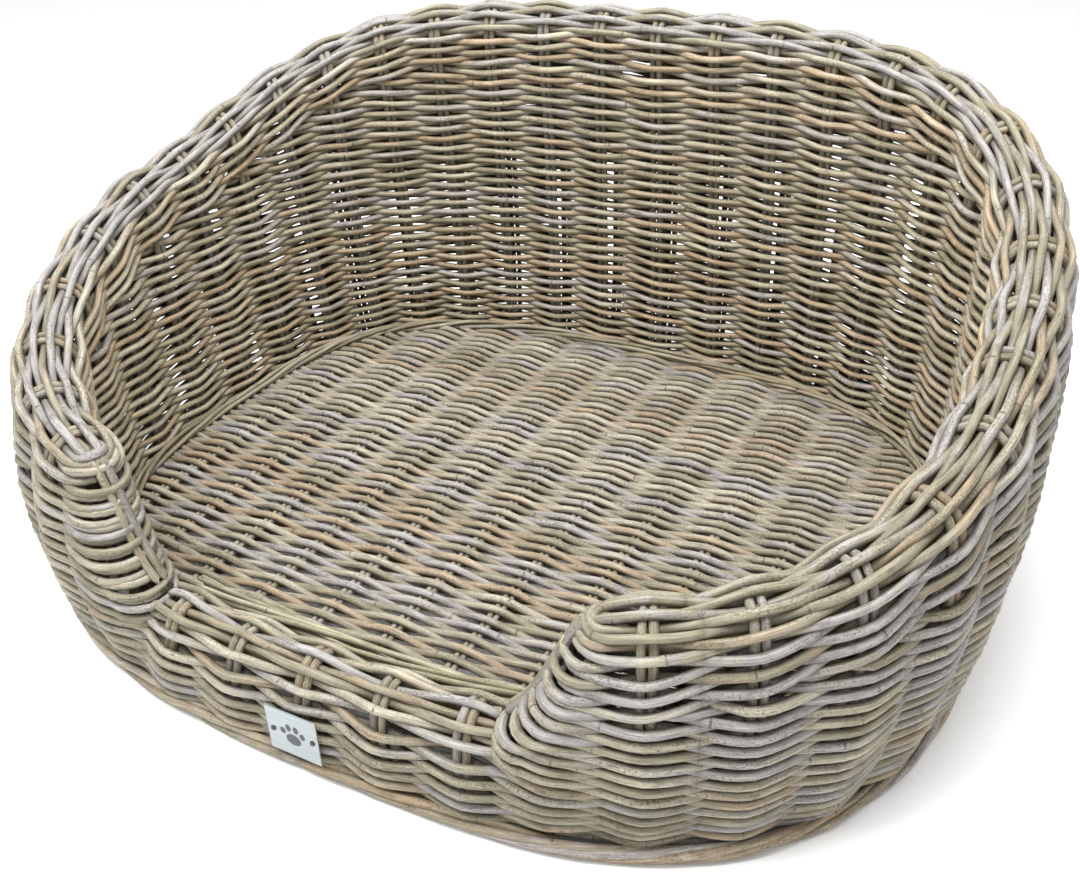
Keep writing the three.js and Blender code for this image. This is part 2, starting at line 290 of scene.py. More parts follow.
class CaneBundle:
    """Gathers canes as round tubes and makes them one mesh."""

    def __init__(self):
        self.vertices = []
        self.faces = []
        self.uvs = []
        # tone and tint set each cane's own colour and knot its rings; recess and outward only set where
        # shade is painted.
        self.marks = {"tone": [], "tint": [], "recess": [], "knot": [], "outward": []}
        self.count = 0

    def add(self, rings, values):
        """Adds one tube: rings of points, and a dictionary of values per ring or per point."""
        ring_count, sides = rings.shape[:2]
        start = self.count
        middle = [rings[0].mean(axis=0), rings[-1].mean(axis=0)]
        self.vertices.append(np.concatenate([rings.reshape(-1, 3), middle]))
        for name, store in self.marks.items():
            value = np.broadcast_to(values[name].reshape(ring_count, -1), (ring_count, sides))
            store.append(np.concatenate([value.ravel(), value[[0, -1]].mean(axis=1)]))
        ring = np.arange(ring_count - 1)[:, None] * sides
        side = np.arange(sides)[None, :]
        after = (side + 1) % sides
        low = start + ring
        quads = np.stack([low + side, low + sides + side, low + sides + after, low + after], axis=-1)
        self.faces.append(quads.reshape(-1, 4))
        along = values["along"]
        u0 = np.repeat(along[:-1], sides).reshape(-1, sides)
        u1 = np.repeat(along[1:], sides).reshape(-1, sides)
        v0 = np.broadcast_to(side / sides, u0.shape)
        v1 = v0 + 1 / sides
        uv = np.stack([u0, v0, u1, v0, u1, v1, u0, v1], axis=-1)
        self.uvs.append(uv.reshape(-1, 4, 2))
        self._cap(start, start + ring_count * sides, sides, along[0], False)
        last = start + (ring_count - 1) * sides
        self._cap(last, start + ring_count * sides + 1, sides, along[-1], True)
        self.count += ring_count * sides + 2

    def _cap(self, first, centre, sides, along, turned):
        side = np.arange(sides)
        after = (side + 1) % sides
        pair = (after, side) if turned else (side, after)
        corners = [first + pair[0], first + pair[1], np.full(sides, centre), np.full(sides, -1)]
        self.faces.append(np.stack(corners, axis=-1))
        self.uvs.append(np.full((sides, 4, 2), (along, 0.5)))

    def build(self, name, material):
        """Makes the mesh object, smooth shaded, with a UV map that runs along each cane."""
        vertices = np.concatenate(self.vertices)
        faces = np.concatenate(self.faces)
        uvs = np.concatenate(self.uvs)
        is_quad = faces[:, 3] >= 0
        corner_counts = np.where(is_quad, 4, 3)
        keep = np.ones(faces.shape, bool)
        keep[:, 3] = is_quad
        starts = np.concatenate([[0], np.cumsum(corner_counts)[:-1]])
        mesh = bpy.data.meshes.new(name)
        mesh.vertices.add(len(vertices))
        mesh.vertices.foreach_set("co", vertices.astype(np.float32).ravel())
        mesh.loops.add(int(corner_counts.sum()))
        mesh.loops.foreach_set("vertex_index", faces[keep].astype(np.int32))
        mesh.polygons.add(len(faces))
        mesh.polygons.foreach_set("loop_start", starts.astype(np.int32))
        mesh.polygons.foreach_set("use_smooth", is_quad)
        layer = mesh.uv_layers.new(name="UVMap")
        layer.data.foreach_set("uv", uvs[keep].astype(np.float32).ravel())
        for mark, store in self.marks.items():
            attribute = mesh.attributes.new(mark, "FLOAT", "POINT")
            attribute.data.foreach_set("value", np.concatenate(store).astype(np.float32))
        mesh.update(calc_edges=True)
        mesh.validate()
        mesh.materials.append(material)
        piece = bpy.data.objects.new(name, mesh)
        bpy.context.scene.collection.objects.link(piece)
        return piece


class CaneMaker:
    """Turns a centre line into lengths of cane, each with its own colour, knots and thickness."""

    def __init__(self, seed, radius, wander=0.25 * MM):
        self.rng = np.random.default_rng(seed)
        self.radius = radius
        self.wander = wander

    def lay(self, points, normals, recess, bundles, labels=None):
        """Lays one cane. labels name the bundle that each stretch between two points belongs to."""
        rng = self.rng
        radius = self.radius * rng.uniform(0.93, 1.07)
        lengths = lengths_along(points)
        total = lengths[-1]
        knots = self._knots(total)
        stations = self._stations(lengths, knots)
        path = resample(stations, lengths, points)
        normal = unit(resample(stations, lengths, normals))
        depth = np.interp(stations, lengths, recess)
        tangent = unit(np.gradient(path, axis=0))
        side = unit(np.cross(tangent, normal))
        up = np.cross(side, tangent)
        phase = rng.uniform(0, 2 * math.pi, 4)
        sway = np.sin(stations * 55 + phase[0]) + 0.6 * np.sin(stations * 131 + phase[1])
        path = path + side * (self.wander * sway)[:, None]
        to_knot = np.abs(stations[:, None] - knots[None, :]).min(axis=1)
        swell = 1 + KNOT_SWELL * np.clip(1 - to_knot / KNOT_REACH, 0, 1)
        swell = swell * (1 + 0.035 * np.sin(stations * 23 + phase[2]))
        thick = radius * swell
        if labels is not None:
            inside = np.array([float(name.startswith("inner")) for name in (*labels, labels[-1])])
            thick = thick * (1 - INSIDE_THINNING * np.interp(stations, lengths, inside))
        from_end = np.minimum(stations, total - stations)
        thick = thick * np.clip(THINNEST_END + from_end / END_TAPER, THINNEST_END, 1)
        turn = phase[3] + np.arange(CANE_SIDES) * 2 * math.pi / CANE_SIDES
        ring = np.cos(turn)[None, :, None] * side[:, None] + np.sin(turn)[None, :, None] * up[:, None]
        rings = path[:, None] + ring * thick[:, None, None]
        values = {
            "tone": np.full(len(stations), rng.uniform()),
            "tint": np.full(len(stations), rng.uniform()),
            # How deep the cane lies, per point; the material darkens it with painted shade.
            "recess": depth,
            "knot": to_knot,
            # Which way each side of the ring faces; the material paints shade on the sides that face away
            # from the wall's face.
            "outward": np.tile(np.sin(turn), (len(stations), 1)),
            "along": stations + rng.uniform(0, 40),
        }
        if labels is None:
            bundles.add(rings, values)
            return
        names = labels[np.clip(np.searchsorted(lengths, (stations[1:] + stations[:-1]) / 2) - 1, 0, None)]
        cuts = np.flatnonzero(names[1:] != names[:-1]) + 1
        for first, last in zip(np.concatenate([[0], cuts]), np.concatenate([cuts, [len(names)]])):
            part = {name: value[first : last + 1] for name, value in values.items()}
            bundles[names[first]].add(rings[first : last + 1], part)

    def _knots(self, total):
        spots = [self.rng.uniform(-0.1, 0.2)]
        while spots[-1] < total:
            spots.append(spots[-1] + self.rng.uniform(*KNOT_SPACING))
        return np.array(spots)

    def _stations(self, lengths, knots):
        extra = (knots[:, None] + np.array([-KNOT_REACH, 0, KNOT_REACH])).ravel()
        extra = extra[(extra > CLOSEST_POINTS) & (extra < lengths[-1] - CLOSEST_POINTS)]
        if len(extra) == 0:
            return lengths
        near = np.abs(lengths[:, None] - extra[None, :]).min(axis=1)
        near[[0, -1]] = np.inf
        return np.sort(np.concatenate([lengths[near > CLOSEST_POINTS], extra]))


# ---- rows of weaving -----------------------------------------------------------------------------

STEPS_PER_STAKE = 8
WAVE_SHARPNESS = 0.94
LOOP_STEPS = 10
UNDER_STAKES = -0.98
TUCK_DEPTH = 4.5 * MM
TUCK_LENGTH = 14 * MM
ROW_DIP = 0.9 * MM
END_DIVE = 26 * MM


def wave(number, row):
    """Side of the stakes that a row runs on: 1 over, -1 under, flat where it crosses a pair."""
    bent = np.arcsin(WAVE_SHARPNESS * np.cos(np.pi * number)) / math.asin(WAVE_SHARPNESS)
    return bent if row % 2 == 0 else -bent


NOSE_OVER = 0.72
NOSE_UNDER = 0.20
NOSE_HALF_SPAN = 0.75


def soften_at_noses(level, number):
    """Rows swing less at a nose and stay near its face, so that the nose looks full."""
    from_nose = np.minimum(np.abs(number - NOSE_STAKE), np.abs(STAKES - number - NOSE_STAKE))
    at_nose = np.where(level < 0, NOSE_UNDER, NOSE_OVER * level)
    return level + (at_nose - level) * smooth(1 - from_nose / NOSE_HALF_SPAN)


def hand_wobble(angle, height):
    """How far a handmade row strays up or down, much the same for rows that lie together."""
    arc = arc_at(angle % (2 * math.pi))
    slow = 1.4 * MM * np.sin(arc * 29 + height * 24 + 0.7)
    return slow + 0.9 * MM * np.sin(arc * 67 - height * 41 + 2.1)


def side_face(angle, height, side, depth, low=False):
    """Middle of the weave of the outer (side 1) or inner (side -1) wall, and its outward normal.

    Low rows go all round, over the entry too; the others only know the arms and the back.
    """
    outline = BASE if side > 0 else FLOOR
    foot_height = foot_high.z if side > 0 else floor_low.z
    share_arm = arm_share(angle)
    reached = share_arm if low else np.ones(np.shape(angle))
    spring = SILL_SPRING + (arm_spring(angle) - SILL_SPRING) * reached
    radius = SILL_RADIUS + (RIM_RADIUS - SILL_RADIUS) * reached
    normal = CREST.normals(angle)
    foot = outline.points(angle) - side * normal * depth
    head = CREST.points(angle) + side * normal * (radius - depth)[..., None]
    share = np.clip((height - foot_height) / (spring - foot_height), 0, 1)
    plan = foot + (head - foot) * share[..., None]
    bulge = SILL_BULGE + (ARM_BULGE - SILL_BULGE) * share_arm if side > 0 else INNER_BULGE
    plan = plan + normal * (4 * bulge * share * (1 - share))[..., None]
    facing = np.concatenate([side * normal, np.zeros(normal.shape[:-1] + (1,))], axis=-1)
    return np.concatenate([plan, height[..., None]], axis=-1), facing


def roll_face(angle, turn, depth, spring, radius):
    """Middle of the weave on a roll: turn 0 is outside, pi inside."""
    normal = CREST.normals(angle)
    reach = (radius - depth) * np.cos(turn)
    plan = CREST.points(angle) + normal * reach[..., None]
    height = spring + (radius - depth) * np.sin(turn)
    facing = np.concatenate([normal * np.cos(turn)[..., None], np.sin(turn)[..., None]], axis=-1)
    return np.concatenate([plan, height[..., None]], axis=-1), facing


NOSE_ANGLES = np.linspace(NOSE_FOOT, NOSE_TOP, 60)
NOSE_HEIGHTS = SILL_TOP + (NOSE_HEAD - SILL_TOP) * arm_share(NOSE_ANGLES)
NOSE_ARCS = arc_at(NOSE_ANGLES)


def nose_front(height):
    """Arc at which the nose's leading edge stands at a height."""
    return np.interp(height, NOSE_HEIGHTS, NOSE_ARCS)


class WallRow:
    """A row of the walls at a height that may rise towards the back."""

    def __init__(self, index, height, low=False):
        self.index = index
        self.height = height
        self.low = low

    def face(self, angle, side, depth):
        height = self.height(angle)
        return side_face(angle, height + hand_wobble(angle, height), side, depth, self.low)

    def label(self, side):
        return ("outer" if side > 0 else "inner") + ("_low" if self.index < SPLIT_ROW else "_high")


class RollRow:
    """A row that runs along the rim roll, at a turn from its outer side."""

    def __init__(self, index, turn):
        self.index = index
        self.turn = turn

    def face(self, angle, side, depth):
        turn = self.turn if side > 0 else math.pi - self.turn
        return roll_face(angle, np.full(angle.shape, turn), depth, arm_spring(angle), RIM_RADIUS)

    def label(self, side):
        return "rim"


NOSE_SETBACK = 5 * MM
NOSE_SAG = 2.5 * MM
NOSE_STRAY = 0.7 * MM
NOSE_STRETCH = 0.95
NOSE_UNEVEN = 0.07


def nose_centre(row, depth):
    """Arc where a row leaves the walls to loop round the nose."""
    arc = FIRST_RIM_STAKE_ARC
    for _ in range(4):
        angle = angle_at(np.array([arc]))
        outside = row.face(angle, 1, depth)[0][0]
        inside = row.face(angle, -1, depth)[0][0]
        reach = np.linalg.norm(outside[:2] - inside[:2]) / 2
        arc = nose_front(outside[2]) + NOSE_SETBACK + reach * NOSE_STRETCH
    return arc


def nose_loop(row, depth, mirrored):
    """Half circle of a row round a nose, from the outer wall to the inner one."""
    arc = nose_centre(row, depth)
    uneven = math.sin(row.index * 2.4 + (1.7 if mirrored else 0.0))
    centre_arc = PERIMETER - arc if mirrored else arc
    angle = angle_at(np.array([centre_arc]))
    outside, out_facing = (value[0] for value in row.face(angle, 1, depth))
    inside = row.face(angle, -1, depth)[0][0]
    middle = (outside + inside) / 2
    across = (outside - inside) / 2
    reach = np.linalg.norm(across)
    sideways = across / reach
    forward = np.array([-sideways[1], sideways[0], 0.0])
    if (forward[0] > 0) != mirrored:
        forward = -forward
    turn = np.linspace(0, math.pi, LOOP_STEPS + 1)[1:-1, None]
    radial = sideways * np.cos(turn) + forward * np.sin(turn)
    stretch = NOSE_STRETCH * (1 + NOSE_UNEVEN * uneven)
    points = middle + reach * (sideways * np.cos(turn) + stretch * forward * np.sin(turn))
    points[:, 2] += (NOSE_STRAY * uneven - NOSE_SAG) * np.sin(turn[:, 0])
    rise = out_facing[2]
    facing = radial * math.sqrt(max(1 - rise * rise, 0)) + np.array([0, 0, 1.0]) * rise
    start = stake_at_arc(np.array([arc]))[0]
    number = NOSE_STAKE + (start - NOSE_STAKE) * np.abs(1 - 2 * turn[:, 0] / math.pi)
    return points, facing, number


def stretch_numbers(first, last):
    """Stake numbers of a stretch of row, at even steps that fall on every stake."""
    low = math.ceil(first * STEPS_PER_STAKE + 0.3)
    high = math.floor(last * STEPS_PER_STAKE - 0.3)
    return np.concatenate([[first], np.arange(low, high + 1) / STEPS_PER_STAKE, [last]])


def whole_arm_row(row, depth):
    """Closed loop of a row: outer wall, left nose, inner wall, right nose."""
    start = stake_at_arc(np.array([nose_centre(row, depth)]))[0]
    numbers = stretch_numbers(start, STAKES - start)
    angle = angle_at(arc_of_stake(numbers))
    outer, outer_facing = row.face(angle, 1, depth)
    inner, inner_facing = row.face(angle[::-1], -1, depth)
    left, left_facing, left_number = nose_loop(row, depth, True)
    right, right_facing, right_number = nose_loop(row, depth, False)
    points = np.concatenate([outer, left, inner, right[::-1]])
    facings = np.concatenate([outer_facing, left_facing, inner_facing, right_facing[::-1]])
    number = np.concatenate([numbers, STAKES - left_number, numbers[::-1], right_number[::-1]])
    sides = np.concatenate([
        np.full(len(numbers), row.label(1), dtype=object),
        np.full(len(left), "left", dtype=object),
        np.full(len(numbers), row.label(-1), dtype=object),
        np.full(len(right), "right", dtype=object),
    ])
    sides[number < FIRST_RIM_STAKE + 0.5] = "right"
    sides[number > STAKES - FIRST_RIM_STAKE - 0.5] = "left"
    return points, facings, number, sides


def weave_closed(maker, bundles, path, row_index, swing, cane_lengths):
    """Lays a closed row as several canes, which meet where the row passes under the stakes."""
    points, facings, number, labels = path
    level = wave(number, row_index)
    lowest = (np.roll(level, 1) >= level) & (np.roll(level, -1) > level)
    under = np.flatnonzero((level < UNDER_STAKES) & lowest)
    start = under[maker.rng.integers(len(under))]
    order = np.concatenate([np.arange(start, len(points)), np.arange(0, start + 1)])
    swing = swing * maker.rng.uniform(0.92, 1.06)
    level = soften_at_noses(level, number)
    woven = points + facings * (swing * level)[:, None]
    woven[:, 2] -= ROW_DIP * level * (1 - np.abs(facings[:, 2]))
    breaks = np.flatnonzero(np.isin(order, under))
    row = (woven[order], facings[order], level[order], labels[order])
    lay_in_lengths(maker, bundles, row, breaks, cane_lengths, 150 * MM)


def weave_open(maker, bundles, path, row_index, swing, cane_lengths):
    """Lays an open row the same way, with its two ends pushed behind its neighbours."""
    points, facings, number, labels = path
    along = lengths_along(points)
    near_end = np.clip(1 - np.minimum(along, along[-1] - along) / END_DIVE, 0, 1)
    level = wave(number, row_index) * (1 - near_end) - 0.7 * near_end
    woven = points + facings * (swing * level)[:, None]
    under = np.flatnonzero(wave(number, row_index) < UNDER_STAKES)
    lay_in_lengths(maker, bundles, (woven, facings, level, labels), under, cane_lengths, 120 * MM)


def lay_in_lengths(maker, bundles, row, breaks, cane_lengths, shortest_end):
    """Lays a row as canes of chance lengths that end at the breaks, the last one not too short."""
    points, facings, level, labels = row
    reach = lengths_along(points)
    last = len(points) - 1
    cut = 0
    while cut < last:
        goal = min(reach[cut] + maker.rng.uniform(*cane_lengths), reach[-1])
        later = breaks[(breaks > cut) & (reach[breaks] >= goal)]
        after = later[0] if len(later) and reach[-1] - reach[later[0]] > shortest_end else last
        part = slice(cut, after + 1)
        lay_tucked(maker, bundles, points[part], facings[part], level[part], labels[cut:after])
        cut = after


def lay_tucked(maker, bundles, points, facings, level, labels):
    """Lays a cane whose two ends are pushed in behind the stakes."""
    reach = lengths_along(points)
    from_end = np.minimum(reach, reach[-1] - reach)
    tuck = TUCK_DEPTH * np.clip(1 - from_end / TUCK_LENGTH, 0, 1) ** 2
    # Canes passing under the stakes get a high recess value, so more painted shade.
    recess = np.clip(0.5 - 0.5 * level, 0, 1)
    maker.lay(points - facings * tuck[:, None], facings, recess, bundles, labels)


# ---- the row plan of walls and rim ---------------------------------------------------------------

LOWER_ROWS = 10
FIRST_ROW_HEIGHT = 13 * MM
FIRST_INNER_ROW = 4
NOSE_ROWS = 14
RIM_SIDE_ROWS = 6
ROLL_LEVELS = 5
RIM_PITCH = 5.3 * MM
SPLIT_ROW = 38
# Shortest and longest cane of each kind of row, in metres.
LOW_LENGTHS = (0.5, 1.4)
WALL_LENGTHS = (0.5, 1.3)
SIDE_LENGTHS = (0.6, 1.5)
RIM_LENGTHS = (0.8, 1.7)


def row_plan(sizes):
    """Rows of the arms from the lowest up, in five groups, and the height of the rim's side band.

    The groups are the rows that loop round the noses, the short rows towards the back, the rim's side
    rows, the rim's roll and the row on its top.
    """
    pitch = sizes.row_pitch
    base = FIRST_ROW_HEIGHT + (LOWER_ROWS - 0.5) * pitch
    nose_angle = angle_at(np.array([FIRST_RIM_STAKE_ARC]))[0]
    band = RIM_SIDE_ROWS * RIM_PITCH
    room_nose = float(arm_spring(nose_angle)) - band - base
    room_back = float(arm_spring(math.pi)) - band - base
    back_rows = round(room_back / sizes.back_pitch)
    pitch_nose = room_nose / NOSE_ROWS
    pitch_back = room_back / back_rows

    def row_height(count):
        def height(angle):
            room = arm_spring(angle) - band - base
            share = np.clip((room - room_nose) / (room_back - room_nose), 0, 1)
            return base + (count + 0.5) * (pitch_nose + (pitch_back - pitch_nose) * share)
        return height

    def rim_height(count):
        return lambda angle: arm_spring(angle) - count * RIM_PITCH

    walls = [WallRow(LOWER_ROWS + j, row_height(j)) for j in range(back_rows)]
    whole = walls[:NOSE_ROWS]
    short = walls[NOSE_ROWS:]
    next_index = LOWER_ROWS + NOSE_ROWS
    sides = [WallRow(next_index + RIM_SIDE_ROWS - 1 - k, rim_height(k)) for k in range(RIM_SIDE_ROWS)]
    next_index += RIM_SIDE_ROWS
    step = math.pi / 2 / (ROLL_LEVELS + 1)
    roll = [RollRow(next_index + k, (k + 1) * step) for k in range(ROLL_LEVELS)]
    top = RollRow(next_index + ROLL_LEVELS, math.pi / 2)
    return whole, short, sides, roll, top, band


def short_row_start(row, band):
    """Stake number on the right arm where a short row comes clear of the rim's own rows."""
    numbers = np.linspace(FIRST_RIM_STAKE, BACK_STAKE, 600)
    angle = angle_at(arc_of_stake(numbers))
    clear = row.height(angle) < arm_spring(angle) - band + 0.6 * RIM_PITCH
    return numbers[np.argmax(clear)] if clear.any() else None


# Bundle: (piece, look, part that it stands for, slot).
WEAVES = {
    "outer_low": ("outer_wall_low_weave", "outer", "outer_wall", "wall_cane"),
    "outer_high": ("outer_wall_high_weave", "outer", "outer_wall", "wall_cane"),
    "inner_low": ("inner_wall_low_weave", "inner", "inner_wall", "wall_cane"),
    "inner_high": ("inner_wall_high_weave", "inner", "inner_wall", "wall_cane"),
    "rim": ("rolled_rim_weave", "rim", "rolled_rim", "rim_cane"),
    "left": ("left_nose_weave", "rim", "left_arm_nose", "rim_cane"),
    "right": ("right_nose_weave", "rim", "right_arm_nose", "rim_cane"),
}


class BASKET_OT_walls_and_rim(bpy.types.Operator):
    """Weaves the outer wall, the inner wall, the rolled rim and the two arm noses"""

    bl_idname = "basket.walls_and_rim"
    bl_label = "Walls and rim"

    def execute(self, context):
        sizes = context.scene.basket_sizes
        bundles = {key: CaneBundle() for key in WEAVES}
        maker = CaneMaker(sizes.seed, sizes.weaver / 2)
        rim_maker = CaneMaker(sizes.seed + 1, sizes.rim_cane / 2, wander=0.5 * MM)
        swing = (sizes.stake + sizes.weaver) / 2 * 1.05
        rim_swing = (sizes.stake + sizes.rim_cane) / 2 * 0.80
        depth = sizes.weave_depth
        whole, short, sides, roll, top, band = row_plan(sizes)
        self.lower_rows(maker, bundles, sizes, swing)
        for row in whole:
            weave_closed(maker, bundles, whole_arm_row(row, depth), row.index, swing, WALL_LENGTHS)
        for row in short:
            self.short_row(maker, bundles, row, band, swing, depth)
        for row in sides:
            weave_closed(maker, bundles, whole_arm_row(row, depth), row.index, swing, SIDE_LENGTHS)
        for row in roll:
            path = whole_arm_row(row, depth)
            weave_closed(rim_maker, bundles, path, row.index, rim_swing, RIM_LENGTHS)
        self.top_row(rim_maker, bundles, top, rim_swing, depth)
        for key, (name, look, node, slot_name) in WEAVES.items():
            piece = bundles[key].build(name, cane_material(f"{look}_cane_finish", look))
            place(piece, [node])
        return {"FINISHED"}

    def lower_rows(self, maker, bundles, sizes, swing):
        """Rows below the sill, which go all the way round both walls."""
        numbers = np.arange(STAKES * STEPS_PER_STAKE) / STEPS_PER_STAKE
        angle = angle_at(arc_of_stake(numbers))
        for index in range(LOWER_ROWS):
            row = WallRow(index, self.level_height(FIRST_ROW_HEIGHT + index * sizes.row_pitch), low=True)
            for side in (1, -1):
                if side < 0 and index < FIRST_INNER_ROW:
                    continue
                points, facings = row.face(angle, side, sizes.weave_depth)
                labels = np.full(len(points), row.label(side), dtype=object)
                path = (points, facings, numbers, labels)
                weave_closed(maker, bundles, path, index, swing, LOW_LENGTHS)

    def level_height(self, height):
        return lambda angle: np.full(angle.shape, height)

    def short_row(self, maker, bundles, row, band, swing, depth):
        start = short_row_start(row, band)
        if start is None or start > BACK_STAKE - 0.5:
            return
        for side in (1, -1):
            first = start + maker.rng.uniform(-0.08, 0.08)
            last = STAKES - start - maker.rng.uniform(-0.08, 0.08)
            numbers = stretch_numbers(first, last)
            points, facings = row.face(angle_at(arc_of_stake(numbers)), side, depth)
            labels = np.full(len(points), row.label(side), dtype=object)
            weave_open(maker, bundles, (points, facings, numbers, labels), row.index, swing, WALL_LENGTHS)

    def top_row(self, maker, bundles, row, swing, depth):
        next_turn = RollRow(row.index - 1, math.pi / 2 * ROLL_LEVELS / (ROLL_LEVELS + 1))
        start = stake_at_arc(np.array([nose_centre(next_turn, depth) - 4 * MM]))[0]
        numbers = stretch_numbers(start, STAKES - start)
        points, facings = row.face(angle_at(arc_of_stake(numbers)), 1, depth)
        labels = np.full(len(points), "rim", dtype=object)
        weave_open(maker, bundles, (points, facings, numbers, labels), row.index, swing, RIM_LENGTHS)


def place(piece, nodes=()):
    """Rides a finished piece on the frame and hides the frame parts that it stands for."""
    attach(piece, "root")
    if nodes:
        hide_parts(*nodes)
    return piece


# ---- stakes --------------------------------------------------------------------------------------

STAKE_STEP = 12 * MM
ROLL_STEPS = 9


def ring_path(angle, depth, spring, radius):
    """A stake's line: up the inner wall, over the roll and down the outer wall."""
    inside = np.linspace(floor_low.z + 8 * MM, spring, max(int(spring / STAKE_STEP), 3))[:-1]
    outside = np.linspace(spring, 6 * MM, max(int(spring / STAKE_STEP), 3) + 2)[1:]
    turns = np.linspace(math.pi, 0, ROLL_STEPS)
    low = spring < SILL_SPRING + 1 * MM
    up = side_face(np.full(inside.shape, angle), inside, -1, depth, low)
    over = roll_face(np.full(turns.shape, angle), turns, depth, spring, radius)
    down = side_face(np.full(outside.shape, angle), outside, 1, depth, low)
    return tuple(np.concatenate(parts) for parts in zip(up, over, down))


class BASKET_OT_stakes(bpy.types.Operator):
    """Sets the stake pairs that stand in both walls and arch over the rim and the sill"""

    bl_idname = "basket.stakes"
    bl_label = "Stakes"

    def execute(self, context):
        sizes = context.scene.basket_sizes
        bundle = CaneBundle()
        maker = CaneMaker(sizes.seed + 2, sizes.stake / 2, wander=0.35 * MM)
        for number, arc in enumerate(STAKE_ARCS[:-1]):
            for side in (-1, 1):
                self.stake(maker, bundle, sizes, number, arc + side * (sizes.stake / 2 + 0.15 * MM))
        piece = bundle.build("wall_stakes", cane_material("stake_finish", "stake"))
        place(piece)
        return {"FINISHED"}

    def stake(self, maker, bundle, sizes, number, arc):
        angle = float(angle_at(np.array([arc % PERIMETER]))[0])
        depth = sizes.weave_depth
        from_front = min(number, STAKES - number)
        if from_front == NOSE_STAKE:
            self.nose_stake(maker, bundle, sizes, angle)
            return
        if from_front < NOSE_STAKE:
            spring, radius = SILL_SPRING, SILL_RADIUS
        else:
            spring, radius = float(arm_spring(angle)), RIM_RADIUS
        points, facings = ring_path(angle, depth, spring, radius)
        # 0.4 is the recess value: how much painted shade the stakes get.
        maker.lay(points, facings, np.full(len(points), 0.4), bundle)

    def nose_stake(self, maker, bundle, sizes, angle):
        """Low stakes in both walls under a nose; the nose's own spine is made with the noses."""
        for side, low in ((1, 6 * MM), (-1, floor_low.z + 8 * MM)):
            heights = np.linspace(low, SILL_SPRING + 8 * MM, 6)
            angles = np.full(heights.shape, angle)
            points, facings = side_face(angles, heights, side, sizes.weave_depth, True)
            # 0.4 is the recess value: how much painted shade these stakes get.
            maker.lay(points, facings, np.full(len(points), 0.4), bundle)


# Two stakes a little inside each nose, which the loops lie against.
INNER_SPINE_SPREAD = 15 * MM
INNER_SPINE_SETBACK = 17 * MM


class BASKET_OT_nose_spines(bpy.types.Operator):
    """Sets the stake pair down the middle of each arm nose and the two stakes inside it"""

    bl_idname = "basket.nose_spines"
    bl_label = "Nose spines"

    def execute(self, context):
        sizes = context.scene.basket_sizes
        maker = CaneMaker(sizes.seed + 3, sizes.stake / 2 * 1.1, wander=0.3 * MM)
        for name, mirrored in (("right_nose_spine", False), ("left_nose_spine", True)):
            bundle = CaneBundle()
            for side in (-1, 1):
                points, facings = self.spine(side * (sizes.stake / 2 + 0.3 * MM), 0, mirrored)
                # 0.6 and 0.8 are recess values: how much painted shade the spine stakes and the stakes
                #                                inside them get.
                maker.lay(points, facings, np.full(len(points), 0.6), bundle)
                points, facings = self.spine(side * INNER_SPINE_SPREAD, INNER_SPINE_SETBACK, mirrored)
                maker.lay(points[:-3], facings[:-3], np.full(len(points) - 3, 0.8), bundle)
            piece = bundle.build(name, cane_material("stake_finish", "stake"))
            place(piece)
        return {"FINISHED"}

    def spine(self, sideways, behind, mirrored):
        heights = np.linspace(SILL_SPRING + 5 * MM, float(arm_spring(NOSE_TOP)) + 12 * MM, 14)
        arcs = nose_front(heights) + NOSE_SETBACK - 2.6 * MM + behind
        arcs[:3] += np.array([14, 8, 2]) * MM
        arcs = np.concatenate([arcs, arcs[-1] + np.array([6, 16, 30]) * MM])
        heights = np.concatenate([heights, heights[-1] + np.array([3, 4, 3]) * MM])
        arcs = PERIMETER - arcs if mirrored else arcs
        angle = angle_at(arcs)
        normal = CREST.normals(angle)
        plan = CREST.points(angle) + normal * sideways
        points = np.concatenate([plan, heights[:, None]], axis=1)
        tangent = unit(np.gradient(points, axis=0))
        across = np.concatenate([normal, np.zeros((len(normal), 1))], axis=1)
        facings = unit(np.cross(across, tangent))
        facings[facings[:, 2] < 0] *= -1
        return points, facings


# ---- sill ----------------------------------------------------------------------------------------

SILL_LEVELS = 9
SILL_REACH = 2.45
BINDING_CANES = 5
BINDING_HALF_LENGTH = 150 * MM
BINDING_SPREAD = 4.4 * MM
BINDING_RISE = 4.2 * MM


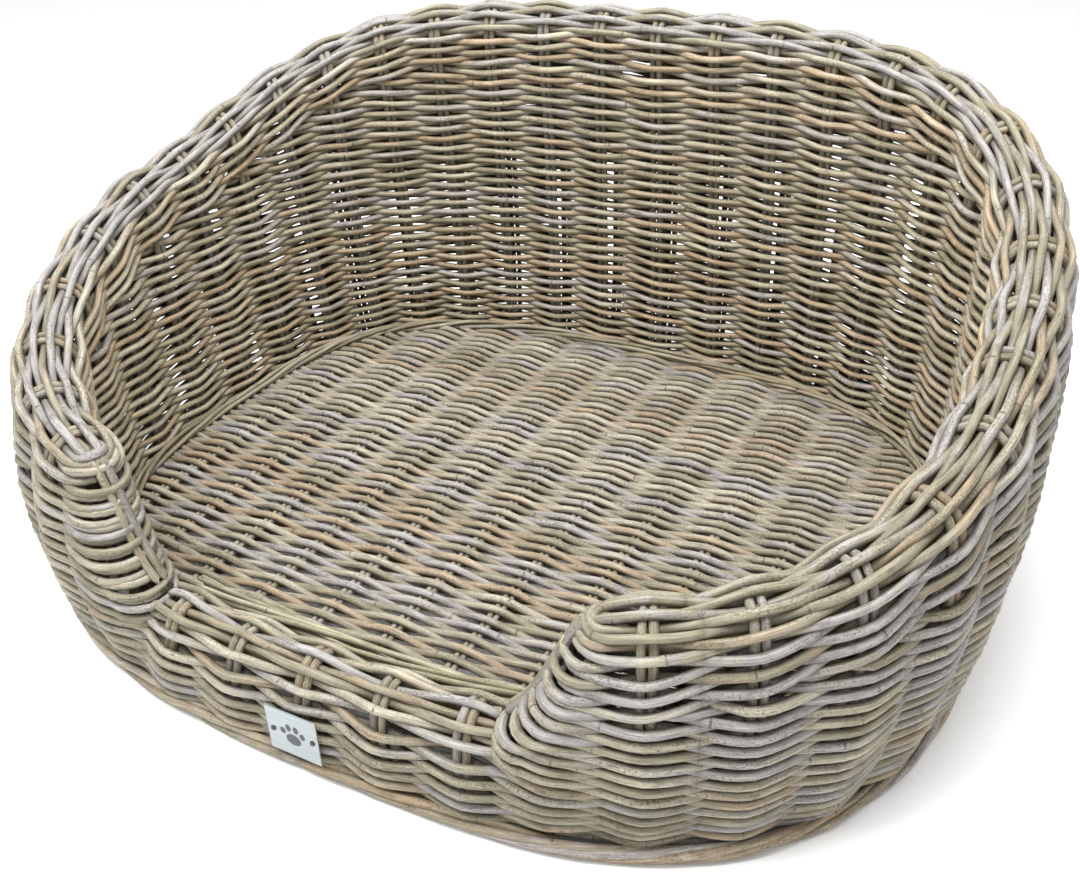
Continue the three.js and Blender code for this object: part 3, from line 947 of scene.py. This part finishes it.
class BASKET_OT_sill(bpy.types.Operator):
    """Weaves the rolled sill and lays the thin canes that bind its inner edge"""

    bl_idname = "basket.sill"
    bl_label = "Sill"

    def execute(self, context):
        sizes = context.scene.basket_sizes
        bundle = CaneBundle()
        maker = CaneMaker(sizes.seed + 4, sizes.rim_cane / 2 * 0.94, wander=0.6 * MM)
        swing = (sizes.stake + sizes.rim_cane) / 2 * 0.68
        for level in range(SILL_LEVELS):
            turn = math.pi * (level + 0.5) / SILL_LEVELS
            reach = SILL_REACH + maker.rng.uniform(-0.12, 0.12)
            numbers = np.arange(-round(reach * STEPS_PER_STAKE), round(reach * STEPS_PER_STAKE) + 1)
            numbers = numbers / STEPS_PER_STAKE
            arcs = numbers * SILL_STAKE_SPACING
            angle = angle_at(arcs)
            drift = turn + 0.05 * np.sin(numbers * 1.3 + level)
            points, facings = roll_face(angle, drift, sizes.weave_depth, SILL_SPRING, SILL_RADIUS)
            level_wave = wave(numbers, LOWER_ROWS + level)
            woven = points + facings * (swing * level_wave)[:, None]
            lay_tucked(maker, bundle, woven, facings, level_wave, None)
        piece = bundle.build("sill_weave", cane_material("rim_cane_finish", "rim"))
        place(piece, ["sill_cover"])
        self.binding(sizes)
        return {"FINISHED"}

    def binding(self, sizes):
        bundle = CaneBundle()
        maker = CaneMaker(sizes.seed + 5, 2.1 * MM, wander=0.8 * MM)
        low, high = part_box("sill_inner_binding")
        for strand in range(BINDING_CANES):
            arcs = np.linspace(-BINDING_HALF_LENGTH, BINDING_HALF_LENGTH, 26)
            arcs = arcs + maker.rng.uniform(-6 * MM, 6 * MM)
            angle = angle_at(arcs)
            phase = strand * 2 * math.pi / BINDING_CANES + arcs * 16 + maker.rng.uniform(-0.4, 0.4)
            normal = CREST.normals(angle)
            reach = BINDING_SPREAD * np.cos(phase) - SILL_RADIUS - 2 * MM
            plan = CREST.points(angle) + normal * reach[:, None]
            height = (low.z + high.z) / 2 + 3 * MM + BINDING_RISE * np.sin(phase)
            points = np.concatenate([plan, height[:, None]], axis=1)
            facings = np.concatenate([-normal, np.full((len(normal), 1), 0.6)], axis=1)
            # 0.2 is the recess value: how much painted shade the binding canes get.
            maker.lay(points, unit(facings), np.full(len(points), 0.2), bundle)
        piece = bundle.build("sill_binding_canes", cane_material("binding_finish", "binding"))
        place(piece, ["sill_inner_binding"])


# ---- floor ---------------------------------------------------------------------------------------

FLOOR_STAKE_SPACING = 62 * MM
RODS_PER_STAKE = 2
FLOOR_TUCK = 4 * MM


class BASKET_OT_floor(bpy.types.Operator):
    """Weaves the floor over its rods and lays the border round its edge"""

    bl_idname = "basket.floor"
    bl_label = "Floor"

    def execute(self, context):
        sizes = context.scene.basket_sizes
        self.weave(sizes)
        self.rods(sizes)
        self.border(sizes)
        return {"FINISHED"}

    def middle_height(self, sizes):
        return FLOOR_TOP - sizes.floor_cane / 2 - self.swing(sizes)

    def swing(self, sizes):
        return (sizes.floor_cane + sizes.floor_stake) / 2 * 0.82

    def weave(self, sizes):
        bundle = CaneBundle()
        maker = CaneMaker(sizes.seed + 6, sizes.floor_cane / 2, wander=0.5 * MM)
        depth = FLOOR.half_depth - 6 * MM
        rows = int(2 * depth / sizes.floor_pitch)
        for row in range(rows):
            y = FLOOR.centre_y + (row - (rows - 1) / 2) * 2 * depth / rows
            reach = float(FLOOR.half_width_at(y)) + FLOOR_TUCK
            ends = reach / FLOOR_STAKE_SPACING
            if ends < 0.6:
                continue
            numbers = stretch_numbers(-ends, ends)
            level = wave(numbers, row)
            sag = 0.8 * MM * np.sin(numbers * 0.9 + row * 0.07)
            height = self.middle_height(sizes) + self.swing(sizes) * level
            points = np.stack([numbers * FLOOR_STAKE_SPACING, y + sag, height], axis=1)
            facings = np.tile([0.0, 0.0, 1.0], (len(points), 1))
            self.split(maker, bundle, points, facings, level)
        piece = bundle.build("floor_weave", cane_material("floor_cane_finish", "floor"))
        place(piece, ["floor_panel"])

    def split(self, maker, bundle, points, facings, level):
        under = np.flatnonzero(level < UNDER_STAKES)
        choices = under[(under > 4) & (under < len(points) - 5)]
        cuts = [0]
        if len(choices) and maker.rng.uniform() < 0.6:
            cuts.append(int(maker.rng.choice(choices)))
        cuts.append(len(points) - 1)
        for first, last in zip(cuts, cuts[1:]):
            part = slice(first, last + 1)
            lay_tucked(maker, bundle, points[part], facings[part], level[part], None)

    def rods(self, sizes):
        bundle = CaneBundle()
        maker = CaneMaker(sizes.seed + 7, sizes.floor_stake / 2, wander=0.3 * MM)
        count = int((FLOOR.half_width - 10 * MM) / FLOOR_STAKE_SPACING)
        for number in range(-count, count + 1):
            for rod in range(RODS_PER_STAKE):
                shift = (rod - (RODS_PER_STAKE - 1) / 2) * (sizes.floor_stake + 0.2 * MM)
                x = number * FLOOR_STAKE_SPACING + shift
                depth = float(FLOOR.half_depth_at(x)) - 3 * MM
                y = FLOOR.centre_y + np.linspace(-depth, depth, max(int(depth / (9 * MM)), 4))
                heights = np.full(len(y), self.middle_height(sizes))
                points = np.stack([np.full(len(y), x), y, heights], axis=1)
                facings = np.tile([0.0, 0.0, 1.0], (len(points), 1))
                # 0.25 is the recess value: how much painted shade the floor rods get.
                maker.lay(points, facings, np.full(len(points), 0.25), bundle)
        piece = bundle.build("floor_rods", cane_material("stake_finish", "stake"))
        place(piece)

    def border(self, sizes):
        low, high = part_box("floor_border")
        middle = (low.z + high.z) / 2
        inset = FLOOR.half_width - high.x + (high.z - low.z) / 2
        bundle = rope(sizes.seed + 8, FLOOR, -inset, middle, 4, 4.5 * MM, 3.4 * MM, turns=7)
        piece = bundle.build("floor_border_canes", cane_material("border_finish", "border"))
        place(piece, ["floor_border"])


FOOT_SWELLING = 4.5 * MM
FOOT_CORE = 9.5 * MM
FOOT_CANE = 6.4 * MM
ROPE_STEPS = 240


def foot_swelling(angle):
    """The foot border stands out further from the front round to the right."""
    return FOOT_SWELLING * smooth((angle - 0.08) / 0.35) * smooth((1.15 - angle) / 0.45)


def rope(seed, outline, offset, height, strands, cane, spread, turns, uneven=None, bundle=None):
    """Long canes laid side by side round an outline, slowly twisting about each other."""
    bundle = bundle or CaneBundle()
    maker = CaneMaker(seed, cane / 2, wander=0.5 * MM)
    angle = angle_at(np.linspace(0, PERIMETER, ROPE_STEPS + 1))
    normal = CREST.normals(angle)
    for strand in range(strands):
        swirl = 0.5 * np.sin(3 * angle + strand)
        phase = strand * 2 * math.pi / strands + turns * angle + swirl
        reach = offset + spread * np.cos(phase)
        if uneven:
            reach = reach + uneven(angle)
        plan = outline.points(angle) + normal * reach[:, None]
        points = np.concatenate([plan, (height + spread * np.sin(phase))[:, None]], axis=1)
        facings = np.concatenate([normal * np.cos(phase)[:, None], np.sin(phase)[:, None]], axis=1)
        start = maker.rng.integers(20, 120)
        second = start + ROPE_STEPS // 3
        for first, last in ((0, start), (start, second), (second, ROPE_STEPS)):
            part = slice(first, last + 1)
            # 0.25 is the recess value: how much painted shade the border canes get.
            maker.lay(points[part], facings[part], np.full(len(points[part]), 0.25), bundle)
    return bundle


class BASKET_OT_foot(bpy.types.Operator):
    """Lays the twisted border that the basket stands on"""

    bl_idname = "basket.foot"
    bl_label = "Foot border"

    def execute(self, context):
        sizes = context.scene.basket_sizes
        height = foot_high.z / 2
        spread = height - FOOT_CANE / 2 - 0.6 * MM
        offset = FOOT_PROUD - spread - FOOT_CANE / 2
        bundle = rope(sizes.seed + 9, BASE, offset, height, 4, FOOT_CANE, spread, 8, uneven=foot_swelling)
        rope(sizes.seed + 10, BASE, offset - FOOT_CORE, height, 3, FOOT_CANE, spread, 6, bundle=bundle)
        piece = bundle.build("foot_border_canes", cane_material("foot_finish", "foot"))
        place(piece, ["foot_border"])
        return {"FINISHED"}


# ---- shading -------------------------------------------------------------------------------------


def add_socket(group, name, kind, out=False, value=None):
    sort = {"float": "NodeSocketFloat", "colour": "NodeSocketColor", "vector": "NodeSocketVector"}[kind]
    made = group.interface.new_socket(name, in_out="OUTPUT" if out else "INPUT", socket_type=sort)
    if value is not None:
        made.default_value = value
    return made


def new_group(name):
    group = bpy.data.node_groups.new(name, "ShaderNodeTree")
    return group, group.nodes.new("NodeGroupInput"), group.nodes.new("NodeGroupOutput")


class Graph:
    """Short calls for adding nodes and linking them."""

    def __init__(self, tree):
        self.tree = tree

    def node(self, kind):
        return self.tree.nodes.new("ShaderNode" + kind)

    def use(self, group):
        node = self.node("Group")
        node.node_tree = group
        return node

    def bump(self, shader, height, strength, distance):
        node = self.node("Bump")
        node.inputs["Strength"].default_value = strength
        node.inputs["Distance"].default_value = distance
        self.feed(node.inputs["Height"], height)
        self.feed(shader.inputs["Normal"], node.outputs["Normal"])

    def feed(self, socket, value):
        if isinstance(value, bpy.types.NodeSocket):
            self.tree.links.new(value, socket)
        elif value is not None:
            socket.default_value = value

    def math(self, operation, first, second=None, clamp=False):
        node = self.node("Math")
        node.operation = operation
        node.use_clamp = clamp
        self.feed(node.inputs[0], first)
        self.feed(node.inputs[1], second)
        return node.outputs[0]

    def noise(self, vector, scale, detail=2.0, roughness=0.5):
        node = self.node("TexNoise")
        self.feed(node.inputs["Vector"], vector)
        node.inputs["Scale"].default_value = scale
        node.inputs["Detail"].default_value = detail
        node.inputs["Roughness"].default_value = roughness
        return node.outputs["Fac"]

    def stretch(self, vector, scale):
        node = self.node("Mapping")
        self.feed(node.inputs["Vector"], vector)
        node.inputs["Scale"].default_value = scale
        return node.outputs[0]

    def ramp(self, value, low, high, start=0.0, end=1.0):
        node = self.node("MapRange")
        node.interpolation_type = "SMOOTHSTEP"
        self.feed(node.inputs["Value"], value)
        node.inputs["From Min"].default_value = low
        node.inputs["From Max"].default_value = high
        node.inputs["To Min"].default_value = start
        node.inputs["To Max"].default_value = end
        return node.outputs[0]

    def mix(self, share, first, second, blend="MIX"):
        node = self.node("Mix")
        node.data_type = "RGBA"
        node.blend_type = blend
        self.feed(node.inputs["Factor"], share)
        self.feed(node.inputs["A"], first)
        self.feed(node.inputs["B"], second)
        return node.outputs["Result"]

    def attribute(self, name):
        node = self.node("Attribute")
        node.attribute_name = name
        return node.outputs["Fac"]


def four(colour):
    return (*colour, 1.0)


def cane_colour_group():
    """Colour of a weathered cane, from its own tone and tint and the place along it."""
    name = "Cane colour"
    if name in bpy.data.node_groups:
        return bpy.data.node_groups[name]
    group, inside, outside = new_group(name)
    add_socket(group, "Along", "vector")
    for label in ("Tone", "Tint"):
        add_socket(group, label, "float")
    for label in ("Shade", "Khaki", "Straw", "Lilac", "Tan"):
        add_socket(group, label, "colour")
    add_socket(group, "Tan share", "float", value=0.1)
    add_socket(group, "Lilac share", "float", value=0.35)
    add_socket(group, "Colour", "colour", out=True)
    graph = Graph(group)
    source = inside.outputs
    slow = graph.noise(graph.stretch(source["Along"], (9.0, 0.35, 1.0)), 1.0, 3.0)
    patch = graph.noise(graph.stretch(source["Along"], (34.0, 1.3, 1.0)), 1.0, 4.0, 0.6)
    drift = graph.math("MULTIPLY", graph.math("SUBTRACT", slow, 0.5), 2.4)
    drift = graph.math("ADD", source["Tone"], drift)
    body = graph.mix(graph.ramp(drift, 0.05, 1.0), source["Khaki"], source["Straw"])
    lilac_edge = graph.math("SUBTRACT", 1.0, source["Lilac share"])
    uneven = graph.math("MULTIPLY", graph.math("SUBTRACT", patch, 0.5), 1.1)
    tint = graph.math("ADD", source["Tint"], uneven)
    lilac = graph.math("MULTIPLY", graph.math("SUBTRACT", tint, lilac_edge), 5.0, clamp=True)
    body = graph.mix(graph.math("MULTIPLY", lilac, 0.85), body, source["Lilac"])
    tan = graph.math("MULTIPLY", graph.math("SUBTRACT", source["Tan share"], tint), 7.0, clamp=True)
    body = graph.mix(graph.math("MULTIPLY", tan, 0.65), body, source["Tan"])
    blotch = graph.noise(graph.stretch(source["Along"], (60.0, 2.2, 1.0)), 1.0, 7.0, 0.72)
    stain = graph.ramp(blotch, 0.47, 0.74)
    body = graph.mix(graph.math("MULTIPLY", stain, 0.62), body, source["Shade"])
    graph.feed(outside.inputs["Colour"], body)
    return group


def cane_grain_group():
    """Fine lines along a cane, dark pores, and the ring and swelling at each knot."""
    name = "Cane grain"
    if name in bpy.data.node_groups:
        return bpy.data.node_groups[name]
    group, inside, outside = new_group(name)
    add_socket(group, "Along", "vector")
    add_socket(group, "Knot", "float")
    for label in ("Lines", "Specks", "Ring", "Height"):
        add_socket(group, label, "float", out=True)
    graph = Graph(group)
    source = inside.outputs
    lines = graph.noise(graph.stretch(source["Along"], (38.0, 15.0, 1.0)), 1.0, 6.0, 0.72)
    fine = graph.noise(graph.stretch(source["Along"], (95.0, 60.0, 1.0)), 1.0, 2.0)
    pores = graph.noise(graph.stretch(source["Along"], (520.0, 11.0, 1.0)), 1.0, 3.0, 0.75)
    worn = graph.ramp(graph.noise(graph.stretch(source["Along"], (3.0, 4.0, 1.0)), 1.0, 2.0), 0.38, 0.62)
    ring = graph.math("MULTIPLY", graph.ramp(source["Knot"], 0.3 * MM, 1.3 * MM, 1.0, 0.0), worn)
    collar = graph.ramp(source["Knot"], 1.0 * MM, 3.2 * MM, 1.0, 0.0)
    clusters = graph.noise(graph.stretch(source["Along"], (16.0, 1.4, 1.0)), 1.0, 3.0)
    crowded = graph.ramp(clusters, 0.42, 0.62, 0.2, 1.0)
    specks = graph.math("MULTIPLY", graph.ramp(pores, 0.50, 0.61), crowded)
    relief = graph.math("ADD", graph.math("MULTIPLY", lines, 0.5), graph.math("MULTIPLY", fine, 0.25))
    relief = graph.math("ADD", relief, graph.math("MULTIPLY", collar, 0.35))
    relief = graph.math("SUBTRACT", relief, graph.math("MULTIPLY", ring, 0.7))
    relief = graph.math("SUBTRACT", relief, graph.math("MULTIPLY", specks, 0.25))
    graph.feed(outside.inputs["Lines"], lines)
    graph.feed(outside.inputs["Specks"], specks)
    graph.feed(outside.inputs["Ring"], ring)
    graph.feed(outside.inputs["Height"], relief)
    return group


# Shares of tan and lilac canes, tint, how dark the painted shade in the recesses is, base roughness.
CANE_LOOKS = {
    "outer": (0.16, 0.46, (0.99, 0.98, 0.98), 0.45, 0.60),
    "inner": (0.28, 0.26, (1.28, 1.21, 1.15), 0.20, 0.62),
    "rim": (0.08, 0.34, (1.04, 1.03, 1.03), 0.38, 0.55),
    "floor": (0.24, 0.34, (1.05, 1.02, 1.03), 0.35, 0.64),
    "stake": (0.14, 0.50, (0.98, 0.95, 0.90), 0.50, 0.66),
    "binding": (0.00, 0.05, (1.04, 1.05, 0.94), 0.30, 0.55),
    "border": (0.35, 0.10, (1.04, 1.00, 0.92), 0.40, 0.58),
    "foot": (0.12, 0.48, (1.14, 1.06, 1.03), 0.35, 0.60),
}


# How dark the painted shade is on the sides of a cane, where it lies against its neighbours.
CREVICE_SHADE = 0.36
KNOT_RING = (0.05, 0.038, 0.026)


def cane_material(name, look):
    if name in bpy.data.materials:
        return bpy.data.materials[name]
    tan_share, lilac_share, tint, recess_shade, rough = CANE_LOOKS[look]
    colours = bpy.context.scene.basket_colours
    material = bpy.data.materials.new(name)
    material.use_nodes = True
    tree = material.node_tree
    shader = tree.nodes["Principled BSDF"]
    graph = Graph(tree)
    uv = graph.node("UVMap")
    uv.uv_map = "UVMap"
    colour = graph.use(cane_colour_group())
    grain = graph.use(cane_grain_group())
    for node in (colour, grain):
        graph.feed(node.inputs["Along"], uv.outputs["UV"])
    graph.feed(colour.inputs["Tone"], graph.attribute("tone"))
    graph.feed(colour.inputs["Tint"], graph.attribute("tint"))
    for label in ("Shade", "Khaki", "Straw", "Lilac", "Tan"):
        shade = getattr(colours, label.lower())
        colour.inputs[label].default_value = four([min(a * b, 1) for a, b in zip(shade, tint)])
    colour.inputs["Tan share"].default_value = tan_share
    colour.inputs["Lilac share"].default_value = lilac_share
    graph.feed(grain.inputs["Knot"], graph.attribute("knot"))
    streak = graph.ramp(grain.outputs["Lines"], 0.30, 0.68, 0.52, 1.18)
    body = graph.mix(1.0, colour.outputs["Colour"], streak, "MULTIPLY")
    dirt = four(colours.shade)
    # Painted shade: the sides of each cane that face away from the wall's face are darkened, as shade
    # between neighbouring canes.
    crevice = graph.ramp(graph.attribute("outward"), -0.2, 0.6, CREVICE_SHADE, 0.0)
    # Painted shade: canes that lie deep in the weave are darkened by their recess value; the stronger of
    # the two painted shades mixes the colour towards a darker shade colour below.
    recess = graph.math("MULTIPLY", graph.attribute("recess"), recess_shade)
    recess = graph.math("MAXIMUM", recess, crevice)
    body = graph.mix(recess, body, four([channel * 0.8 for channel in colours.shade]))
    body = graph.mix(graph.math("MULTIPLY", grain.outputs["Specks"], 0.75), body, dirt)
    body = graph.mix(graph.math("MULTIPLY", grain.outputs["Ring"], 0.75), body, four(KNOT_RING))
    graph.feed(shader.inputs["Base Color"], body)
    roughness = graph.ramp(grain.outputs["Lines"], 0.2, 0.8, rough + 0.1, rough - 0.06)
    graph.feed(shader.inputs["Roughness"], roughness)
    shader.inputs["Specular IOR Level"].default_value = 0.35
    graph.bump(shader, grain.outputs["Height"], 0.55, 0.35 * MM)
    return material


def streak_group():
    """Fine streaks, 0 to 1, drawn out by a different amount in each direction."""
    name = "Streaks"
    if name in bpy.data.node_groups:
        return bpy.data.node_groups[name]
    group, inside, outside = new_group(name)
    add_socket(group, "Place", "vector")
    add_socket(group, "Spacing", "vector")
    add_socket(group, "Streak", "float", out=True)
    add_socket(group, "Height", "float", out=True)
    graph = Graph(group)
    stretched = graph.node("Mapping")
    graph.feed(stretched.inputs["Vector"], inside.outputs["Place"])
    graph.feed(stretched.inputs["Scale"], inside.outputs["Spacing"])
    streaks = graph.noise(stretched.outputs[0], 1.0, 4.0, 0.6)
    graph.feed(outside.inputs["Streak"], graph.ramp(streaks, 0.3, 0.7))
    graph.feed(outside.inputs["Height"], streaks)
    return group


def object_material(name, colour, roughness, metallic, stretch, contrast):
    """Finish of a frame part that stays: streaked colour and roughness on its own coordinates."""
    material = bpy.data.materials.new(name)
    material.use_nodes = True
    tree = material.node_tree
    shader = tree.nodes["Principled BSDF"]
    graph = Graph(tree)
    place_node = graph.node("TexCoord")
    streaks = graph.use(streak_group())
    graph.feed(streaks.inputs["Place"], place_node.outputs["Object"])
    streaks.inputs["Spacing"].default_value = stretch
    darker = four([channel * (1 - contrast) for channel in colour])
    body = graph.mix(streaks.outputs["Streak"], darker, four(colour))
    graph.feed(shader.inputs["Base Color"], body)
    rough = graph.ramp(streaks.outputs["Streak"], 0.0, 1.0, roughness + 0.08, roughness - 0.05)
    graph.feed(shader.inputs["Roughness"], rough)
    shader.inputs["Metallic"].default_value = metallic
    graph.bump(shader, streaks.outputs["Height"], 0.3, 0.1 * MM)
    return material


PAW_PADS = (
    # sideways, up from the plate's middle, half width, half height, in millimetres
    (0.0, -4.5, 6.4, 5.2),
    (-8.4, 1.8, 2.3, 3.1),
    (-3.2, 6.0, 2.4, 3.4),
    (3.2, 6.0, 2.4, 3.4),
    (8.4, 1.8, 2.3, 3.1),
)


def paw_group():
    """A paw print: 1 on the pads, 0 round them."""
    group, inside, outside = new_group("Paw print")
    add_socket(group, "Place", "vector")
    add_socket(group, "Mark", "float", out=True)
    graph = Graph(group)
    low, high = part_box("name_plate")
    middle = (low.z + high.z) / 2
    split = graph.node("SeparateXYZ")
    graph.feed(split.inputs[0], inside.outputs["Place"])
    mark = None
    for across, up, half_width, half_height in PAW_PADS:
        x = graph.math("SUBTRACT", split.outputs["X"], across * MM)
        x = graph.math("DIVIDE", x, half_width * MM)
        z = graph.math("SUBTRACT", split.outputs["Z"], middle + up * MM)
        z = graph.math("DIVIDE", z, half_height * MM)
        away = graph.math("ADD", graph.math("MULTIPLY", x, x), graph.math("MULTIPLY", z, z))
        pad = graph.ramp(away, 0.9, 1.1, 1.0, 0.0)
        mark = pad if mark is None else graph.math("MAXIMUM", mark, pad)
    graph.feed(outside.inputs["Mark"], mark)
    return group


def add_paw(material, ink):
    """Prints the paw over a plate's finish."""
    tree = material.node_tree
    shader = tree.nodes["Principled BSDF"]
    graph = Graph(tree)
    paw = graph.use(paw_group())
    place_node = graph.node("TexCoord")
    graph.feed(paw.inputs["Place"], place_node.outputs["Object"])
    body = shader.inputs["Base Color"].links[0].from_socket
    graph.feed(shader.inputs["Base Color"], graph.mix(paw.outputs["Mark"], body, four(ink)))
    graph.feed(shader.inputs["Metallic"], graph.ramp(paw.outputs["Mark"], 0.0, 1.0, 0.9, 0.1))


class BASKET_OT_frame_finishes(bpy.types.Operator):
    """Gives the poles, the plate and its nails their finish"""

    bl_idname = "basket.frame_finishes"
    bl_label = "Frame finishes"

    def execute(self, context):
        colours = context.scene.basket_colours
        pole = object_material("pole_finish", colours.pole, 0.55, 0.0, (60, 60, 14), 0.3)
        plate = object_material("plate_finish", colours.plate, 0.36, 0.9, (30, 30, 900), 0.12)
        add_paw(plate, (0.035, 0.037, 0.04))
        nail = object_material("nail_finish", (0.09, 0.085, 0.08), 0.45, 0.8, (400, 400, 400), 0.3)
        for name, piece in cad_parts.items():
            if any(word in name for word in ("pole", "hoop", "bearer", "post")):
                look = pole
            elif name == "name_plate":
                look = plate
            elif "nail" in name:
                look = nail
            else:
                continue
            piece.data.materials.clear()
            piece.data.materials.append(look)
        return {"FINISHED"}


# ---- stage ---------------------------------------------------------------------------------------


class BASKET_OT_stage(bpy.types.Operator):
    """Sets the pale floor, the soft lights and the camera"""

    bl_idname = "basket.stage"
    bl_label = "Stage"

    def execute(self, context):
        settings = context.scene.basket_stage
        self.floor()
        self.lights(settings)
        self.camera(settings)
        context.scene.view_settings.view_transform = "Standard"
        return {"FINISHED"}

    def floor(self):
        bpy.ops.object.select_all(action="DESELECT")
        bpy.ops.mesh.primitive_plane_add(size=8, location=(0, 0, -0.0004))
        ground = bpy.context.active_object
        ground.name = "studio_floor"
        material = bpy.data.materials.new("studio_floor_finish")
        material.use_nodes = True
        shader = material.node_tree.nodes["Principled BSDF"]
        shader.inputs["Base Color"].default_value = (0.90, 0.90, 0.90, 1)
        shader.inputs["Roughness"].default_value = 0.9
        ground.data.materials.append(material)

    def lights(self, settings):
        world = bpy.data.worlds.new("studio")
        bpy.context.scene.world = world
        world.use_nodes = True
        background = world.node_tree.nodes["Background"]
        background.inputs["Color"].default_value = (1, 1, 1, 1)
        background.inputs["Strength"].default_value = settings.world_light
        self.area("key", (-0.5, -0.8, 2.0), settings.key_light, 0.8)
        self.area("top", (0.1, -0.1, 1.7), settings.fill_light, 1.2)

    def area(self, name, position, power, size):
        light = bpy.data.lights.new(name, "AREA")
        light.energy = power
        light.size = size
        lamp = bpy.data.objects.new(name, light)
        lamp.location = position
        aim = Vector((0, 0, 0.15)) - Vector(position)
        lamp.rotation_euler = aim.to_track_quat("-Z", "Y").to_euler()
        bpy.context.scene.collection.objects.link(lamp)

    def camera(self, settings):
        azimuth, elevation = settings.azimuth, settings.elevation
        back = Vector((
            math.sin(azimuth) * math.cos(elevation),
            -math.cos(azimuth) * math.cos(elevation),
            math.sin(elevation),
        ))
        data = bpy.data.cameras.new("camera")
        data.sensor_width = 36
        data.lens = settings.lens
        data.shift_x = settings.shift
        data.clip_start = 0.01
        camera = bpy.data.objects.new("camera", data)
        camera.location = Vector(settings.target) + back * settings.distance
        camera.rotation_euler = (-back).to_track_quat("-Z", "Y").to_euler()
        bpy.context.scene.collection.objects.link(camera)
        bpy.context.scene.camera = camera


# ---- add-on --------------------------------------------------------------------------------------

OPERATORS = (
    BASKET_OT_walls_and_rim,
    BASKET_OT_stakes,
    BASKET_OT_nose_spines,
    BASKET_OT_sill,
    BASKET_OT_floor,
    BASKET_OT_foot,
    BASKET_OT_frame_finishes,
    BASKET_OT_stage,
)


class BASKET_PT_panel(bpy.types.Panel):
    bl_idname = "BASKET_PT_panel"
    bl_label = "Wicker pet bed"
    bl_space_type = "VIEW_3D"
    bl_region_type = "UI"
    bl_category = "Basket"

    def draw(self, context):
        for operator in OPERATORS:
            self.layout.operator(operator.bl_idname)
        scene = context.scene
        for group in (scene.basket_sizes, scene.basket_colours, scene.basket_stage):
            box = self.layout.box()
            for name in group.bl_rna.properties.keys():
                if name not in ("rna_type", "name"):
                    box.prop(group, name)


CLASSES = (BasketSizes, BasketColours, StageSettings, *OPERATORS, BASKET_PT_panel)


def register():
    for item in CLASSES:
        bpy.utils.register_class(item)
    bpy.types.Scene.basket_sizes = PointerProperty(type=BasketSizes)
    bpy.types.Scene.basket_colours = PointerProperty(type=BasketColours)
    bpy.types.Scene.basket_stage = PointerProperty(type=StageSettings)


def unregister():
    del bpy.types.Scene.basket_sizes
    del bpy.types.Scene.basket_colours
    del bpy.types.Scene.basket_stage
    for item in reversed(CLASSES):
        bpy.utils.unregister_class(item)


def main():
    register()
    for operator in OPERATORS:
        group, name = operator.bl_idname.split(".")
        getattr(getattr(bpy.ops, group), name)()


if __name__ == "__main__":
    main()
